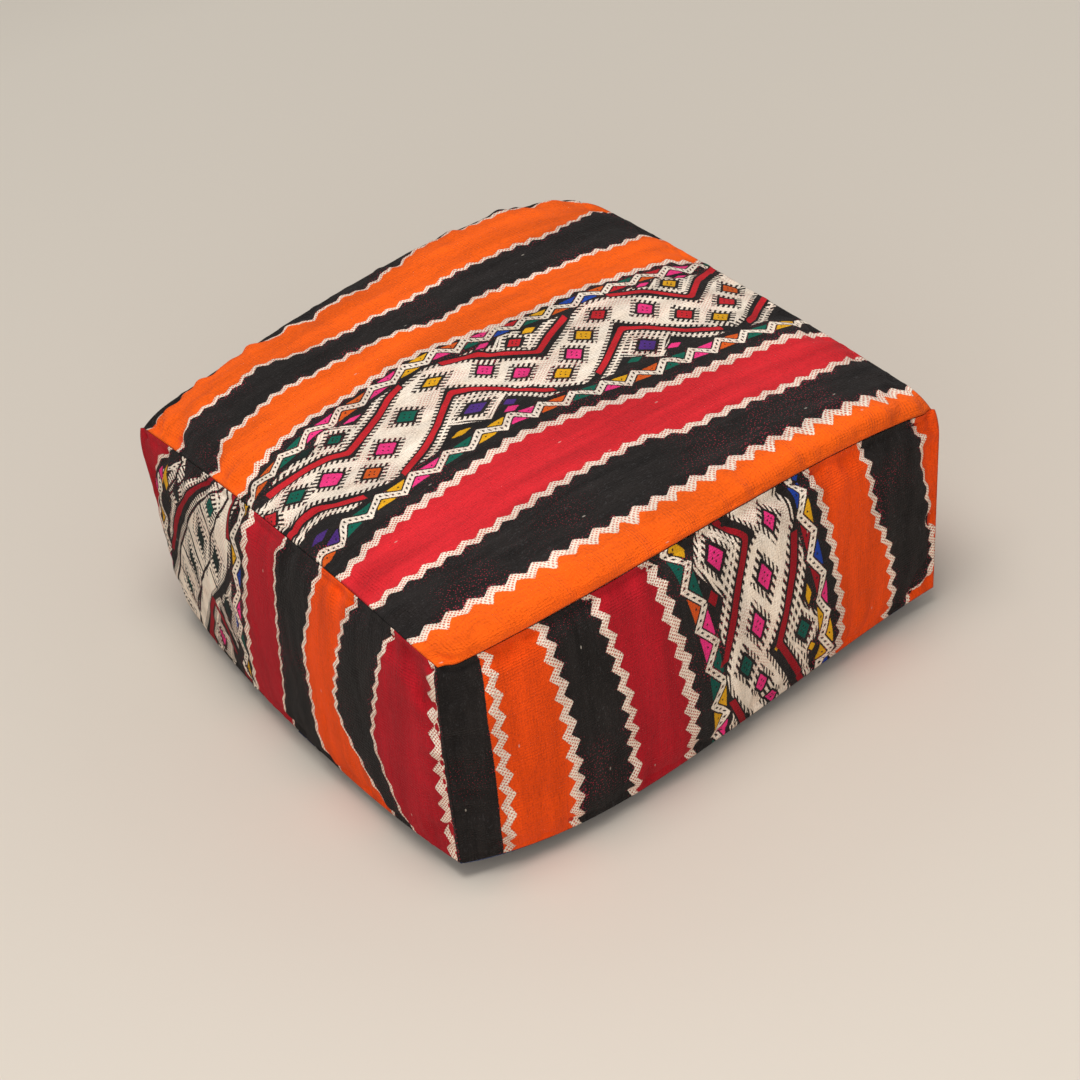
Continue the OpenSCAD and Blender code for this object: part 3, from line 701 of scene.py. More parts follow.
def kilimWool():
    material, add = newMaterial("flatWovenWool")
    plus, minus, times = ({"operation": name} for name in ("ADD", "SUBTRACT", "MULTIPLY"))
    most, least, size = ({"operation": name} for name in ("MAXIMUM", "MINIMUM", "ABSOLUTE"))
    weigh = {"operation": "MULTIPLY_ADD"}
    eased, blend, flat = {"interpolation_type": "SMOOTHSTEP"}, {"data_type": "RGBA"}, {"voronoi_dimensions": "2D"}
    cloth = add("UVMap", {"uv_map": "cloth"}, {})
    thread = add("Attribute", {"attribute_name": "thread"}, {}, "Color")
    cream, comb, black, lace, rising, turnsUp, turnsDown, turnsTape = (
        add("Attribute", {"attribute_name": name}, {}, "Fac")
        for name in ("cream", "comb", "black", "lace", "rising", "turnsUp", "turnsDown", "turnsTape"))

    # which yarn lies on top: cream, black or the stripe's own, their edges wandering by a thread
    wander = add("TexNoise", {}, {"Vector": cloth, "Scale": kilimLook["wander"], "Detail": 2}, "Fac")
    wander = add("Math", times, {0: add("Math", minus, {0: wander, 1: 0.5}), 1: kilimLook["fuzz"] * 2})
    turns = add("Mix", {"data_type": "FLOAT"}, {
        0: add("Math", {"operation": "GREATER_THAN"}, {0: rising, 1: 0.5}), 2: turnsDown, 3: turnsUp})
    turns = add("Mix", {"data_type": "FLOAT"}, {
        0: add("Math", {"operation": "GREATER_THAN"}, {0: rising, 1: 1.5}), 2: turns, 3: turnsTape})
    stroke = add("Math", minus, {0: add("Math", {"operation": "FRACT"}, {0: turns}), 1: 0.5})
    half = add("MapRange", {}, {0: rising, 1: 1.4, 2: 1.6, 3: 0.26, 4: 0.31})
    stroke = add("Math", times, {0: add("Math", minus, {0: half, 1: add("Math", size, {0: stroke})}), 1: 5})
    depth = add("Math", most, {0: cream, 1: add("Math", least, {0: comb, 1: stroke})})
    creamShare = add("MapRange", eased, {0: add("Math", plus, {0: depth, 1: wander}), 1: -0.3, 2: 0.3})
    blackShare = add("MapRange", eased, {0: add("Math", plus, {0: black, 1: wander}), 1: -0.3, 2: 0.3})

    # black yarn, streaked, with red flecks of the yarn beneath
    patch = add("TexNoise", {}, {"Vector": cloth, "Scale": kilimLook["patch"], "Detail": 3}, "Fac")
    fleck = add("TexVoronoi", flat, {"Vector": cloth, "Scale": cellSize / kilimLook["fleckCell"]}, "Distance")
    fleck = add("Math", plus, {0: fleck, 1: add("MapRange", {}, {0: patch, 1: 0.4, 2: 0.68, 3: 0.2, 4: 0})})
    fleck = add("Math", plus, {0: fleck, 1: add("MapRange", {}, {0: cream, 1: -8, 2: -1, 3: 0.06, 4: -0.08})})
    fleck = add("MapRange", eased, {0: fleck, 1: 0.14, 2: 0.26, 3: 0.85, 4: 0})
    laid = add("Mapping", {}, {"Vector": cloth, "Scale": (0.2, 1, 1)})
    streak = add("TexNoise", {}, {"Vector": laid, "Scale": kilimLook["streak"], "Detail": 3}, "Fac")
    charcoal = add("Mix", blend, {0: streak, 6: colour(kilimLook["black"][0]), 7: colour(kilimLook["black"][1])}, 2)
    combed = add("Mapping", {}, {"Vector": cloth, "Rotation": (0, 0, 0.5), "Scale": (0.4, 1, 1)})
    fibre = add("TexNoise", {}, {
        "Vector": combed, "Scale": kilimLook["combed"], "Detail": 3, "Distortion": 3.5}, "Fac")
    fibre = add("MapRange", eased, {0: fibre, 1: 0.55, 2: 0.8, 3: 0, 4: 0.4})
    charcoal = add("Mix", blend, {0: fibre, 6: charcoal, 7: colour(kilimLook["fibre"])}, 2)
    charcoal = add("Mix", blend, {0: fleck, 6: charcoal, 7: colour(kilimLook["fleck"])}, 2)
    ground = add("Mix", blend, {0: blackShare, 6: thread, 7: charcoal}, 2)

    # cream yarn; a ribbon is woven open, so that the yarn beneath shows as a lattice of dots
    diagonal = add("Mapping", {}, {"Vector": cloth, "Rotation": (0, 0, math.radians(38))})
    eyes = add("TexVoronoi", flat, {"Vector": diagonal, "Scale": cellSize / kilimLook["eyePitch"], "Randomness": 0.1},
               "Distance")
    eyes = add("MapRange", eased, {0: eyes, 1: 0.25, 2: 0.37, 3: 1, 4: 0})
    bare = add("TexNoise", {}, {"Vector": cloth, "Scale": kilimLook["worn"], "Detail": 2}, "Fac")
    bare = add("MapRange", eased, {0: bare, 1: 0.45, 2: 0.65, 3: 0, 4: 0.5})
    bare = add("Math", weigh, {0: lace, 1: 0.75, 2: bare})
    tone = add("TexNoise", {}, {"Vector": cloth, "Scale": kilimLook["tone"], "Detail": 3}, "Fac")
    wool = add("Mix", blend, {0: tone, 6: colour(kilimLook["cream"][0]), 7: colour(kilimLook["cream"][1])}, 2)
    under = add("Mix", blend, {0: 0.5, 6: thread, 7: colour(kilimLook["underCream"])}, 2)
    bare = add("Math", least, {0: add("Math", times, {0: eyes, 1: bare}), 1: 0.9})
    wool = add("Mix", blend, {0: bare, 6: wool, 7: under}, 2)
    face = add("Mix", blend, {0: creamShare, 6: ground, 7: wool}, 2)

    # picks and ribs of the weave, the dye lot changing from pass to pass, and painted shade between the weft's beads
    picks = add("Mapping", {}, {"Vector": cloth, "Scale": (0.28, 1, 1)})
    picks = add("TexNoise", {}, {"Vector": picks, "Scale": cellSize / kilimLook["pick"], "Detail": 1}, "Fac")
    ribs = add("TexWave", {"bands_direction": "X"}, {
        "Vector": cloth, "Scale": waveSize / kilimLook["rib"], "Distortion": 2.2, "Detail Scale": 1.5}, "Fac")
    abrash = add("Mapping", {}, {"Vector": cloth, "Scale": (0.12, 1, 1)})
    abrash = add("TexNoise", {}, {"Vector": abrash, "Scale": kilimLook["dyeLot"], "Detail": 4}, "Fac")
    hair = add("TexNoise", {}, {"Vector": cloth, "Scale": kilimLook["hair"], "Detail": 2}, "Fac")
    beadRiseAndShade = add("Mapping", {}, {"Vector": cloth, "Scale": (0.85, 1, 1)})
    beadRiseAndShade = add("TexVoronoi", flat, {"Vector": beadRiseAndShade, "Scale": cellSize / kilimLook["bead"], "Randomness": 0.3},
                "Distance")
    beadRiseAndShade = add("MapRange", eased, {0: beadRiseAndShade, 1: 0.2, 2: 0.7, 3: 1, 4: 0})
    shade = add("MapRange", eased, {0: abrash, 1: 0.3, 2: 0.7, 3: 0.42, 4: 0.76})
    # lighter on each bead's crown and darker in the hollows between: painted shade of the weave's relief
    shade = add("Math", weigh, {0: beadRiseAndShade, 1: 0.1, 2: shade})
    shade = add("Math", weigh, {0: picks, 1: 0.3, 2: shade})
    shade = add("Math", weigh, {0: hair, 1: 0.4, 2: shade})
    shade = add("CombineColor", {}, {0: shade, 1: shade, 2: shade})
    face = add("Mix", {"data_type": "RGBA", "blend_type": "MULTIPLY"}, {0: 1, 6: face, 7: shade}, 2)
    lint = add("TexVoronoi", flat, {"Vector": combed, "Scale": cellSize / kilimLook["lintCell"]}, "Distance")
    lint = add("MapRange", eased, {0: lint, 1: 0.006, 2: 0.014, 3: 0.4, 4: 0})
    face = add("Mix", blend, {0: lint, 6: face, 7: colour(kilimLook["lint"])}, 2)

    height = add("Math", weigh, {0: ribs, 1: 0.25, 2: add("Math", plus, {0: hair, 1: picks})})
    height = add("Math", weigh, {0: beadRiseAndShade, 1: 0.25, 2: height})
    height = add("Math", weigh, {0: creamShare, 1: 0.4, 2: height})
    relief = add("Bump", {}, {"Strength": 0.9, "Distance": kilimLook["relief"] * mm, "Height": height})
    surface = add("BsdfPrincipled", {}, {
        "Base Color": face, "Roughness": kilimLook["roughness"], "Normal": relief,
        "Sheen Weight": kilimLook["sheen"], "Sheen Roughness": 0.5, "Specular IOR Level": 0.08})
    add("OutputMaterial", {}, {0: surface})
    return material


panels = {
    "top": {"node": "top_panel", "size": (600, 572), "cells": (304, 304), "draft": topDraft, "slot": "kilim_top",
            "fine": (1, 172, 428), "at": lambda u, v: (u, -v, 1 + 0 * u), "stripes": 0},
    "front": {"node": "front_panel", "size": (600, 250), "cells": (400, 168), "draft": frontDraft,
              "slot": "kilim_side", "fine": (0, 216, 466), "at": lambda u, v: (u, -1 + 0 * u, -v), "stripes": 1},
    "left": {"node": "left_panel", "size": (572, 250), "cells": (400, 168), "draft": leftDraft,
             "slot": "kilim_side", "fine": (0, 0, 250), "at": lambda u, v: (-1 + 0 * u, -u, -v), "stripes": 1},
    "right": {"node": "right_panel", "size": (572, 250), "cells": (400, 168), "draft": frontDraft,
              "slot": "kilim_side", "fine": (0, 120, 380), "at": lambda u, v: (1 + 0 * u, u, -v), "stripes": 1,
              "turned": 590},
    "back": {"node": "back_panel", "size": (600, 250), "cells": (400, 168), "draft": frontDraft,
             "slot": "kilim_side", "fine": (0, 134, 384), "at": lambda u, v: (-u, 1 + 0 * u, -v), "stripes": 1,
             "turned": 600},
}
loom = {
    "innerStep": 8,                           # a panel's inner face has one cell for this many outer ones
    "fineShare": 0.62,                        # share of the outer lines that lie in the patterned zone
    "wall": 0.01,                             # between the two faces, before they are laid on the form
}

# The bake map's picture: each panel's outer face has most of it, and the inner face a strip
bakeMap = {"outer": ((0.99, 0.93), (0.005, 0.005)), "inner": ((0.94, 0.045), (0.03, 0.948)), "rim": 1.04}


def loomLines(size, cells, fine):             # places of the grid lines, closer together in the fine zone
    low, high = fine
    step = loom["innerStep"]
    outside = size - (high - low)
    inner = int(cells * loom["fineShare"]) // step * step
    before = int((cells - inner) * low / outside) // step * step
    return np.interp(np.arange(cells + 1), [0, before, before + inner, cells], [0, low, high, size])


def twoFacedGrid(cells, step):                # a fine outer grid and a coarser inner one, joined round the edge
    bm = bmesh.new()
    bmesh.ops.create_grid(bm, x_segments=cells[0], y_segments=cells[1], size=1)
    outer = set(bm.verts)
    bmesh.ops.create_grid(bm, x_segments=cells[0] // step, y_segments=cells[1] // step, size=1,
                          matrix=Matrix.Translation((0, 0, -loom["wall"])))
    bmesh.ops.reverse_faces(bm, faces=[face for face in bm.faces if face.verts[0] not in outer])
    bmesh.ops.bridge_loops(bm, edges=[edge for edge in bm.edges if edge.is_boundary])
    bmesh.ops.recalc_face_normals(bm, faces=bm.faces)
    return meshFrom(bm, "grid")


def storeField(mesh, name, values):           # a number or a colour at each point, for the material
    kind = "FLOAT" if values.ndim == 1 else "FLOAT_COLOR"
    attribute = mesh.attributes.new(name, kind, "POINT")
    if kind == "FLOAT_COLOR":
        values = np.hstack([values, np.ones((len(values), 1))])
    attribute.data.foreach_set("value" if kind == "FLOAT" else "color", values.astype(np.float32).ravel())


def storeMaps(mesh, size, spots, inner):      # the cloth's own millimetres, and a map that fills the baked picture
    loops = np.zeros(len(mesh.loops), int)
    mesh.loops.foreach_get("vertex_index", loops)
    starts = np.zeros(len(mesh.polygons), int)
    mesh.polygons.foreach_get("loop_start", starts)
    hidden = np.maximum.reduceat(inner[loops].astype(int), starts)
    counts = np.diff(np.append(starts, len(loops)))
    hidden = np.repeat(hidden, counts) > 0
    cloth = mesh.uv_layers.new(name="cloth")
    cloth.uv.foreach_set("vector", (spots[loops] * mm).astype(np.float32).ravel())
    shares = spots[loops] / np.array(size)
    rim = np.where((hidden & ~inner[loops])[:, None], (shares - 0.5) * bakeMap["rim"] + 0.5, shares)
    outerFace, innerFace = (place * bakeMap[side][0] + bakeMap[side][1]
                            for place, side in ((shares, "outer"), (rim, "inner")))
    bake = mesh.uv_layers.new(name="OFBake")
    bake.uv.foreach_set("vector", np.where(hidden[:, None], innerFace, outerFace).astype(np.float32).ravel())


def addPiece(name, mesh, material, body):
    piece = bpy.data.objects.new(name, mesh)
    bpy.context.scene.collection.objects.link(piece)
    if material:
        mesh.materials.clear()
        mesh.materials.append(material)
    mesh.shade_smooth()
    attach(piece, body)
    return piece


def rollIn(edges, corner=99):                 # how far the cloth is drawn in; edges are (distance, seam) pairs
    depth = 0
    for distance, seam in edges:
        (deep, wide), (pull, near) = sewing["seams"][seam], sewing["stitchLine"]
        depth = np.maximum(depth, deep * fade(distance, wide) ** 2 + pull * fade(distance, near))
    tuck, wide = sewing["cornerTuck"]
    return depth + tuck * fade(corner, wide) ** 2


def unevenness(right, down, seed):            # the lumps of a hand-stuffed wall, between -1 and 1 or so
    look, dice = sewing["lumps"], np.random.default_rng(seed)
    total = 0
    for length in look["lengths"]:
        turn, shift = dice.uniform(0, math.pi, 3), dice.uniform(0, 2 * math.pi, 3)
        for angle, start in zip(turn, shift):
            run = right * math.cos(angle) + down * math.sin(angle)
            total = total + length * np.sin(run * fullTurn / length + start)
    return total / look["share"]


def creasesAt(along, across, seed):           # faint wavy creases along the stripes, stronger here and there
    look, dice = sewing["creases"], np.random.default_rng(seed)
    total = 0
    for length in look["lengths"]:
        start, bend = dice.uniform(0, fullTurn, 2), dice.uniform(*look["bends"])
        sway = look["sway"] * np.sin(along * fullTurn / bend + start[0])
        total = total + length * np.sin(across * fullTurn / length + sway + start[1])
    return total / look["share"] * (1 + unevenness(along * 2, across * 2, seed + 1))


def gathersFrom(sides, right, down, seed):    # short folds running in from the seams, where the stuffing pulls
    look, dice = sewing["gathers"], np.random.default_rng(seed)
    total = 0
    for distance, run in zip(sides, (down, down, right, right)):
        folds = sum(np.sin(run * fullTurn / length + dice.uniform(0, fullTurn)) for length in look["lengths"])
        total = total + folds / len(look["lengths"]) * np.exp(-distance / look["reach"])
    return total * look["rise"]


def lipShare(sides):                          # 1 along the front seam, and 0 at its two corners
    share = np.minimum(1, np.minimum(*sides[:2]) / sewing["lipEnds"])
    return share * share * (3 - 2 * share)


def lipOverSeam(sides, right, inner):         # where the roll puts the top's edge, from where it lay
    look, reach = sewing["lipUneven"], -sewing["lip"][0][0]
    rise, near = look["near"]                 # fuller towards the near corner
    t = fade(sides[3], reach)
    full = 1 + look["share"] * unevenness(right * look["stretch"], 0 * right, look["seed"])
    full = full + rise * np.exp(-right / near)
    weights = ((1 - t) ** 3, 3 * t * (1 - t) ** 2 * full, 3 * t ** 2 * (1 - t) * full, t ** 3)
    out, up = (sum(weight * point[axis] for weight, point in zip(weights, sewing["lip"])) for axis in (0, 1))
    out = (out + reach * (1 - t)) * (t > 0)
    return np.stack([0 * t, -out, up + look["inner"] * pouf["kilim"] * inner * t ** 2], -1)


def storeWeave(mesh, draft, along, across):   # what the wool's material reads at each point
    cloth = weaveAt(along, across, draft)
    for field in ("thread", "cream", "comb", "black", "lace", "rising"):
        storeField(mesh, field, getattr(cloth, field))
    comb = draft["comb"]
    for field, edge in (("turnsUp", "rising"), ("turnsDown", "falling")):
        storeField(mesh, field, (along * comb[edge][1] - across * comb[edge][0]) / comb[edge][2])
    storeField(mesh, "turnsTape", along / comb["tape"])


def stuffingUnder(name, plan, sides, along, across):    # how far the stuffing pushes the cloth out
    seed = list(panels).index(name)
    right, _, down, toFront = sides
    look, fromSeam = sewing["lumps"], np.minimum.reduce(sides)
    out = unevenness(right, down, seed) * look["rise"] * np.minimum(1, fromSeam / look["from"])
    out = out + puffAt(plan, right, down) + gathersFrom(sides, right, down, seed + 20)
    out = out + sewing["creases"]["rise"] * creasesAt(along, across, seed + 40)
    if name == "top":
        knot = sewing["knot"]
        far = np.hypot(right - knot["at"][0], toFront - knot["at"][1])
        out = out + knot["rise"] * np.exp(-far / knot["reach"])
    return out * np.minimum(1, fromSeam / sewing["calm"])


def makePanel(name, plan, material):
    cells, size = plan["cells"], plan["size"]
    mesh = twoFacedGrid(cells, loom["innerStep"])
    grid = readPoints(mesh)
    inner = grid[:, 2] < -loom["wall"] / 2
    axis, *fine = plan["fine"]
    lines = [loomLines(size[i], cells[i], fine) if i == axis else np.linspace(0, size[i], cells[i] + 1)
             for i in (0, 1)]
    right = np.interp((grid[:, 0] + 1) / 2 * cells[0], np.arange(cells[0] + 1), lines[0])
    down = np.interp((1 - grid[:, 1]) / 2 * cells[1], np.arange(cells[1] + 1), lines[1])
    along, across = (right, down) if plan["stripes"] == 0 else (down, right)
    if "turned" in plan:
        along, across = size[1] - along, plan["turned"] - across
    storeWeave(mesh, plan["draft"], along, across)
    sides = [right, size[0] - right, down, size[1] - down]
    seams = ["upright", "upright", "top", "foot"] if name != "top" else ["top"] * 4
    edges = list(zip(sides, seams))
    corner = np.hypot(np.minimum(*sides[:2]), np.minimum(*sides[2:]) if name == "top" else down)
    inset = rollIn(edges, corner)
    if name in ("top", "front"):              # where the lip lies over it, the front seam doesn't draw the cloth in
        rolled = lipShare(sides)
        edges.pop(3 if name == "top" else 2)
        inset = inset * (1 - rolled) + rollIn(edges, corner) * rolled
    inset = inset - stuffingUnder(name, plan, sides, along, across) + pouf["kilim"] * inner
    trim = [sewing["seamGap"] / extent for extent in size]
    u, v = (np.clip(share * 2 - 1, -1 + cut, 1 - cut) for share, cut in zip((right / size[0], down / size[1]), trim))
    points = formAt(*plan["at"](u, v), inset)
    if name == "top":
        points = points + lipOverSeam(sides, right, inner) * rolled[:, None]
    if name == "front":                       # its own edge goes down and in with the seam
        first, *_, last = sewing["lip"]
        near = fade(down, -first[0]) ** sewing["follow"] * rolled
        points = points + near[:, None] * (0, -last[0], last[1])
    writePoints(mesh, points)
    spots, extents = ([right, down], size) if plan["stripes"] == 0 else ([down, right], size[::-1])
    storeMaps(mesh, extents, np.stack(spots, -1), inner)
    piece = addPiece("kilim_" + name, mesh, material, "pouf")
    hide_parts(plan["node"])
    return piece


wool = kilimWool()
for name, plan in panels.items():
    makePanel(name, plan, wool)
    print(name, "panel woven")


# Base: two halves of cotton canvas with flat hems along the zip
base = {
    "cells": (96, 44), "flat": (0.63, 0.29),
    "lines": (-1, -0.8, -0.5, 1),             # grid lines on the hem's edge, the hem's end, the groove's end, the seam
    "pitch": 1.4, "canvas": ("#1B2746", "#3A4668"),
}

# Topstitching: rows at these distances from the zip's middle, 128 stitches long
stitching = {"rows": (7, 15.5), "length": 3.2, "radius": 0.4, "pitch": 4.55, "margin": 11, "doublings": 7,
             "sunk": 0.1, "thread": ("#B9AE94", "#D8CDB4")}

# Liner and filling: a calico bag stuffed with scraps and fibre
core = {
    "cuts": 31, "lump": 1.6, "lumps": ((9, 8, 0.4), (17, 13, 1.9), (6, 21, 3.1)),
    "zipRoom": 2.6, "edgeDraw": (8, 12), "cornerNear": 4, "spare": 6, "fill": 0.9,
    "calico": ("#E7DDC8", "#F4ECDC"), "fibre": ("#EFEBE2", "#FBF9F4"),
}

# Zip: woven tapes, nylon coils, and a plated slider
zipper = {
    "tapeHalf": (-309.5, 316.9), "tapeSlit": 1.6, "tapeWide": 15, "tapeThick": 0.7,
    "chainWide": 6, "chainThick": 2.2, "chainGap": 0.3, "chain": (-294.9, 292.3),
    "doublings": 8, "wire": 0.42, "hemTop": 9.2,    # 2 to the eighth turns, 2.3 mm apart
    "round": (5, 10),                         # corners of the thread, and steps of a turn
    "postHalf": 0.6, "postSlim": 0.2,         # where the slider's post has its sides, and how slim it gets
    "tapeEdge": 0.2, "flatTo": 1, "sharpFrom": 35,    # faces closer than 1 degree are one, edges past 35 are rounded
    "tape": ("#161E38", "#27325A"), "nylon": ("#141B30", "#222C4A"),
    "nickel": ("#C9C6BC", "#A6A298"), "brass": ("#A9905A", "#6E5C38"),
}


def wovenCloth(name, look, pitch, rough):     # plain weave: one thread over, one under, and no gloss
    material, add = newMaterial(name)
    place = add("TexCoord", {}, {}, "Object")
    ribs = [add("TexWave", {"bands_direction": way, "wave_profile": "SIN"},
                {"Vector": place, "Scale": waveSize / pitch, "Distortion": 1.5, "Detail Scale": 2}, "Fac")
            for way in "XY"]
    weave = add("Math", {"operation": "MULTIPLY"}, {0: ribs[0], 1: ribs[1]})
    cloudy = add("TexNoise", {}, {"Vector": place, "Scale": 9, "Detail": 4}, "Fac")
    tone = add("Math", {"operation": "MULTIPLY_ADD"}, {0: weave, 1: 0.35, 2: cloudy})
    tone = add("MapRange", {}, {0: tone, 1: 0.35, 2: 1})
    face = add("Mix", {"data_type": "RGBA"}, {0: tone, 6: colour(look[0]), 7: colour(look[1])}, 2)
    relief = add("Bump", {}, {"Strength": 0.6, "Distance": 0.5 * mm, "Height": weave})
    surface = add("BsdfPrincipled", {}, {"Base Color": face, "Roughness": rough, "Normal": relief,
                                         "Sheen Weight": 0.15, "Specular IOR Level": 0.3})
    add("OutputMaterial", {}, {0: surface})
    return material


def cardedFibre():                            # carded fibre: a matt tangle of strands, soft, with no weave in it
    material, add = newMaterial("cardedPolyesterFibre")
    place = add("TexCoord", {}, {}, "Object")
    strands = add("TexNoise", {}, {"Vector": place, "Scale": 260, "Detail": 4, "Distortion": 3}, "Fac")
    face = add("Mix", {"data_type": "RGBA"}, {
        0: strands, 6: colour(core["fibre"][0]), 7: colour(core["fibre"][1])}, 2)
    relief = add("Bump", {}, {"Strength": 0.5, "Distance": 1 * mm, "Height": strands})
    surface = add("BsdfPrincipled", {}, {"Base Color": face, "Roughness": 0.95, "Normal": relief,
                                         "Sheen Weight": 0.2, "Specular IOR Level": 0.3})
    add("OutputMaterial", {}, {0: surface})
    return material


def makeBaseHalf(name, way, material):        # way is -1 for the front half and 1 for the back half
    cells = base["cells"]
    mesh = twoFacedGrid(cells, 1)
    grid = readPoints(mesh)
    half = pouf["depth"] / 2 - pouf["footDraw"]
    places = [pouf["hemHalf"], pouf["hemHalf"] + pouf["hemFlat"], pouf["grooveHalf"], half - sewing["seamGap"]]
    a = grid[:, 0] * (1 - 2 * sewing["seamGap"] / pouf["width"])
    b = np.interp(grid[:, 1], base["lines"], places) / half
    toSides = (1 - np.abs(a)) * pouf["width"] / 2, (1 - b) * half
    inset = rollIn([(distance, "foot") for distance in toSides])
    inset = inset + pouf["canvas"] * (grid[:, 2] > -loom["wall"] / 2)
    writePoints(mesh, formAt(a, way * b, -1 + 0 * a, inset))
    if way < 0:
        mesh.flip_normals()
    piece = addPiece("canvas_base_" + name, mesh, material, "pouf")
    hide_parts("base_" + name)


def coreInset(inset, rough):                  # drawn in along the edges, clear of the cover's seams
    def insetAt(a, b, c):
        lumps = sum(np.sin(a * p + seed) * np.sin(b * q + 2 * seed) * np.sin(c * 3 + seed + p)
                    for p, q, seed in core["lumps"])
        toEdge, toCorner = (1 - np.sort(np.abs([a, b, c]), 0)[rank] for rank in (1, 0))
        deep, near = core["edgeDraw"]
        draw = deep * np.maximum(0, 1 - toEdge * near)
        draw = draw + sewing["cornerTuck"][0] * np.maximum(0, 1 - toCorner * core["cornerNear"])
        spare = np.where(c > -0.999, core["spare"], 0)
        return inset + rough * (1 + lumps / 2) + draw + spare, core["zipRoom"]
    return insetAt


def makeCore():
    calico = wovenCloth("cottonCalico", core["calico"], 1.2, 0.9)    # unbleached: creamy and dull, its grain plain
    gap = pouf["kilim"] + pouf["gap"]
    shell = addPiece("liner_cloth", closedForm("liner", core["cuts"], coreInset(gap, 0)), calico, "pouf")
    thick = shell.modifiers.new("cloth", "SOLIDIFY")
    thick.thickness = pouf["liner"] * mm
    thick.offset = -1
    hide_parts("liner_bag")
    inner = coreInset(gap + pouf["liner"] + pouf["gap"], core["lump"])
    stuffing = addPiece("scrap_stuffing", closedForm("stuffing", core["cuts"], inner), cardedFibre(), "pouf")
    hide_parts("filling")


def copyAll(bm):                              # copies all that the mesh holds, and gives the copy's points
    more = bmesh.ops.duplicate(bm, geom=bm.verts[:] + bm.edges[:] + bm.faces[:])["geom"]
    return [part for part in more if isinstance(part, bmesh.types.BMVert)]


def makeTopstitch(material):                  # rows of thread along both hems, one slim stitch after another
    rows, length, pitch = stitching["rows"], stitching["length"], stitching["pitch"]
    bm = bmesh.new()
    bmesh.ops.create_icosphere(bm, subdivisions=1, radius=1)
    bmesh.ops.scale(bm, verts=bm.verts, vec=(length / 2 * mm, stitching["radius"] * mm, stitching["radius"] * mm))
    start = -pouf["width"] / 2 + stitching["margin"]
    bmesh.ops.translate(bm, verts=bm.verts, vec=(start * mm, rows[0] * mm, (pouf["zipLift"] - stitching["sunk"]) * mm))
    ways = [(pitch * 2 ** k, 0) for k in range(stitching["doublings"])] + [(0, rows[1] - rows[0])]
    for right, back in ways:
        bmesh.ops.translate(bm, verts=copyAll(bm), vec=(right * mm, back * mm, 0))
    bmesh.ops.rotate(bm, verts=copyAll(bm), cent=(0, 0, 0), matrix=Matrix.Rotation(math.pi, 3, "Z"))
    mesh = meshFrom(bm, "topstitch")
    addPiece("hem_topstitch", mesh, material, "pouf")


canvas = wovenCloth("cottonCanvas", base["canvas"], base["pitch"], 0.88)    # dyed in the piece: dull, paler where worn
makeBaseHalf("front", -1, canvas)
makeBaseHalf("back", 1, canvas)
makeTopstitch(wovenCloth("polyesterThread", stitching["thread"], 0.8, 0.6))    # spun and twisted: a faint gleam
makeCore()
print("base, liner and filling made")


def bmeshPiece(name, bm, material, body, node):
    piece = addPiece(name, meshFrom(bm, name), material, body)
    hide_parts(node)
    return piece


def makeTape(name, way, material):
    left, right = zipper["tapeHalf"]
    bm = bmesh.new()
    bmesh.ops.create_cube(bm, size=1)
    bmesh.ops.scale(bm, verts=bm.verts,
                    vec=((right - left) * mm, zipper["tapeWide"] * mm, zipper["tapeThick"] * mm))
    bmesh.ops.translate(bm, verts=bm.verts, vec=(
        (left + right) / 2 * mm, way * (zipper["tapeSlit"] + zipper["tapeWide"]) / 2 * mm,
        (zipper["hemTop"] + zipper["tapeThick"] / 2) * mm))
    bmesh.ops.bevel(bm, geom=bm.edges, offset=zipper["tapeEdge"] * mm, offset_type="OFFSET", affect="EDGES",
                    segments=2, profile=0.5, material=-1)
    piece = bmeshPiece("zip_tape_cloth_" + name, bm, material, "pouf", "zip_tape_" + name)


def makeCoil(name, way, material):            # one wound thread; its turns lean into those of the other coil
    start, end = zipper["chain"]
    wide, thick = (zipper["chainWide"] - zipper["chainGap"]) / 2, zipper["chainThick"]
    pitch = (end - start) / 2 ** zipper["doublings"]
    radius = thick / 2 - zipper["wire"]
    corners, steps = zipper["round"]
    bm = bmesh.new()
    bmesh.ops.create_circle(bm, segments=corners, radius=zipper["wire"] * mm,
                            matrix=Matrix.Translation((0, radius * mm, 0)))
    bmesh.ops.spin(bm, geom=bm.edges, cent=(0, 0, 0), axis=(1, 0, 0), dvec=(pitch / steps * mm, 0, 0),
                   angle=2 * math.pi, steps=steps)
    for doubling in range(zipper["doublings"]):
        bmesh.ops.translate(bm, verts=copyAll(bm), vec=(pitch * 2 ** doubling * mm, 0, 0))
    bmesh.ops.remove_doubles(bm, verts=bm.verts, dist=weld)
    bmesh.ops.holes_fill(bm, edges=[edge for edge in bm.edges if edge.is_boundary])
    bmesh.ops.recalc_face_normals(bm, faces=bm.faces)
    bmesh.ops.scale(bm, verts=bm.verts, vec=(1, wide / thick, 1))
    bmesh.ops.translate(bm, verts=bm.verts, vec=(
        start * mm, way * (zipper["chainGap"] + wide) / 2 * mm, (zipper["hemTop"] - thick / 2) * mm))
    bmeshPiece("zip_coil_wound_" + name, bm, material, "pouf", "zip_coil_" + name)


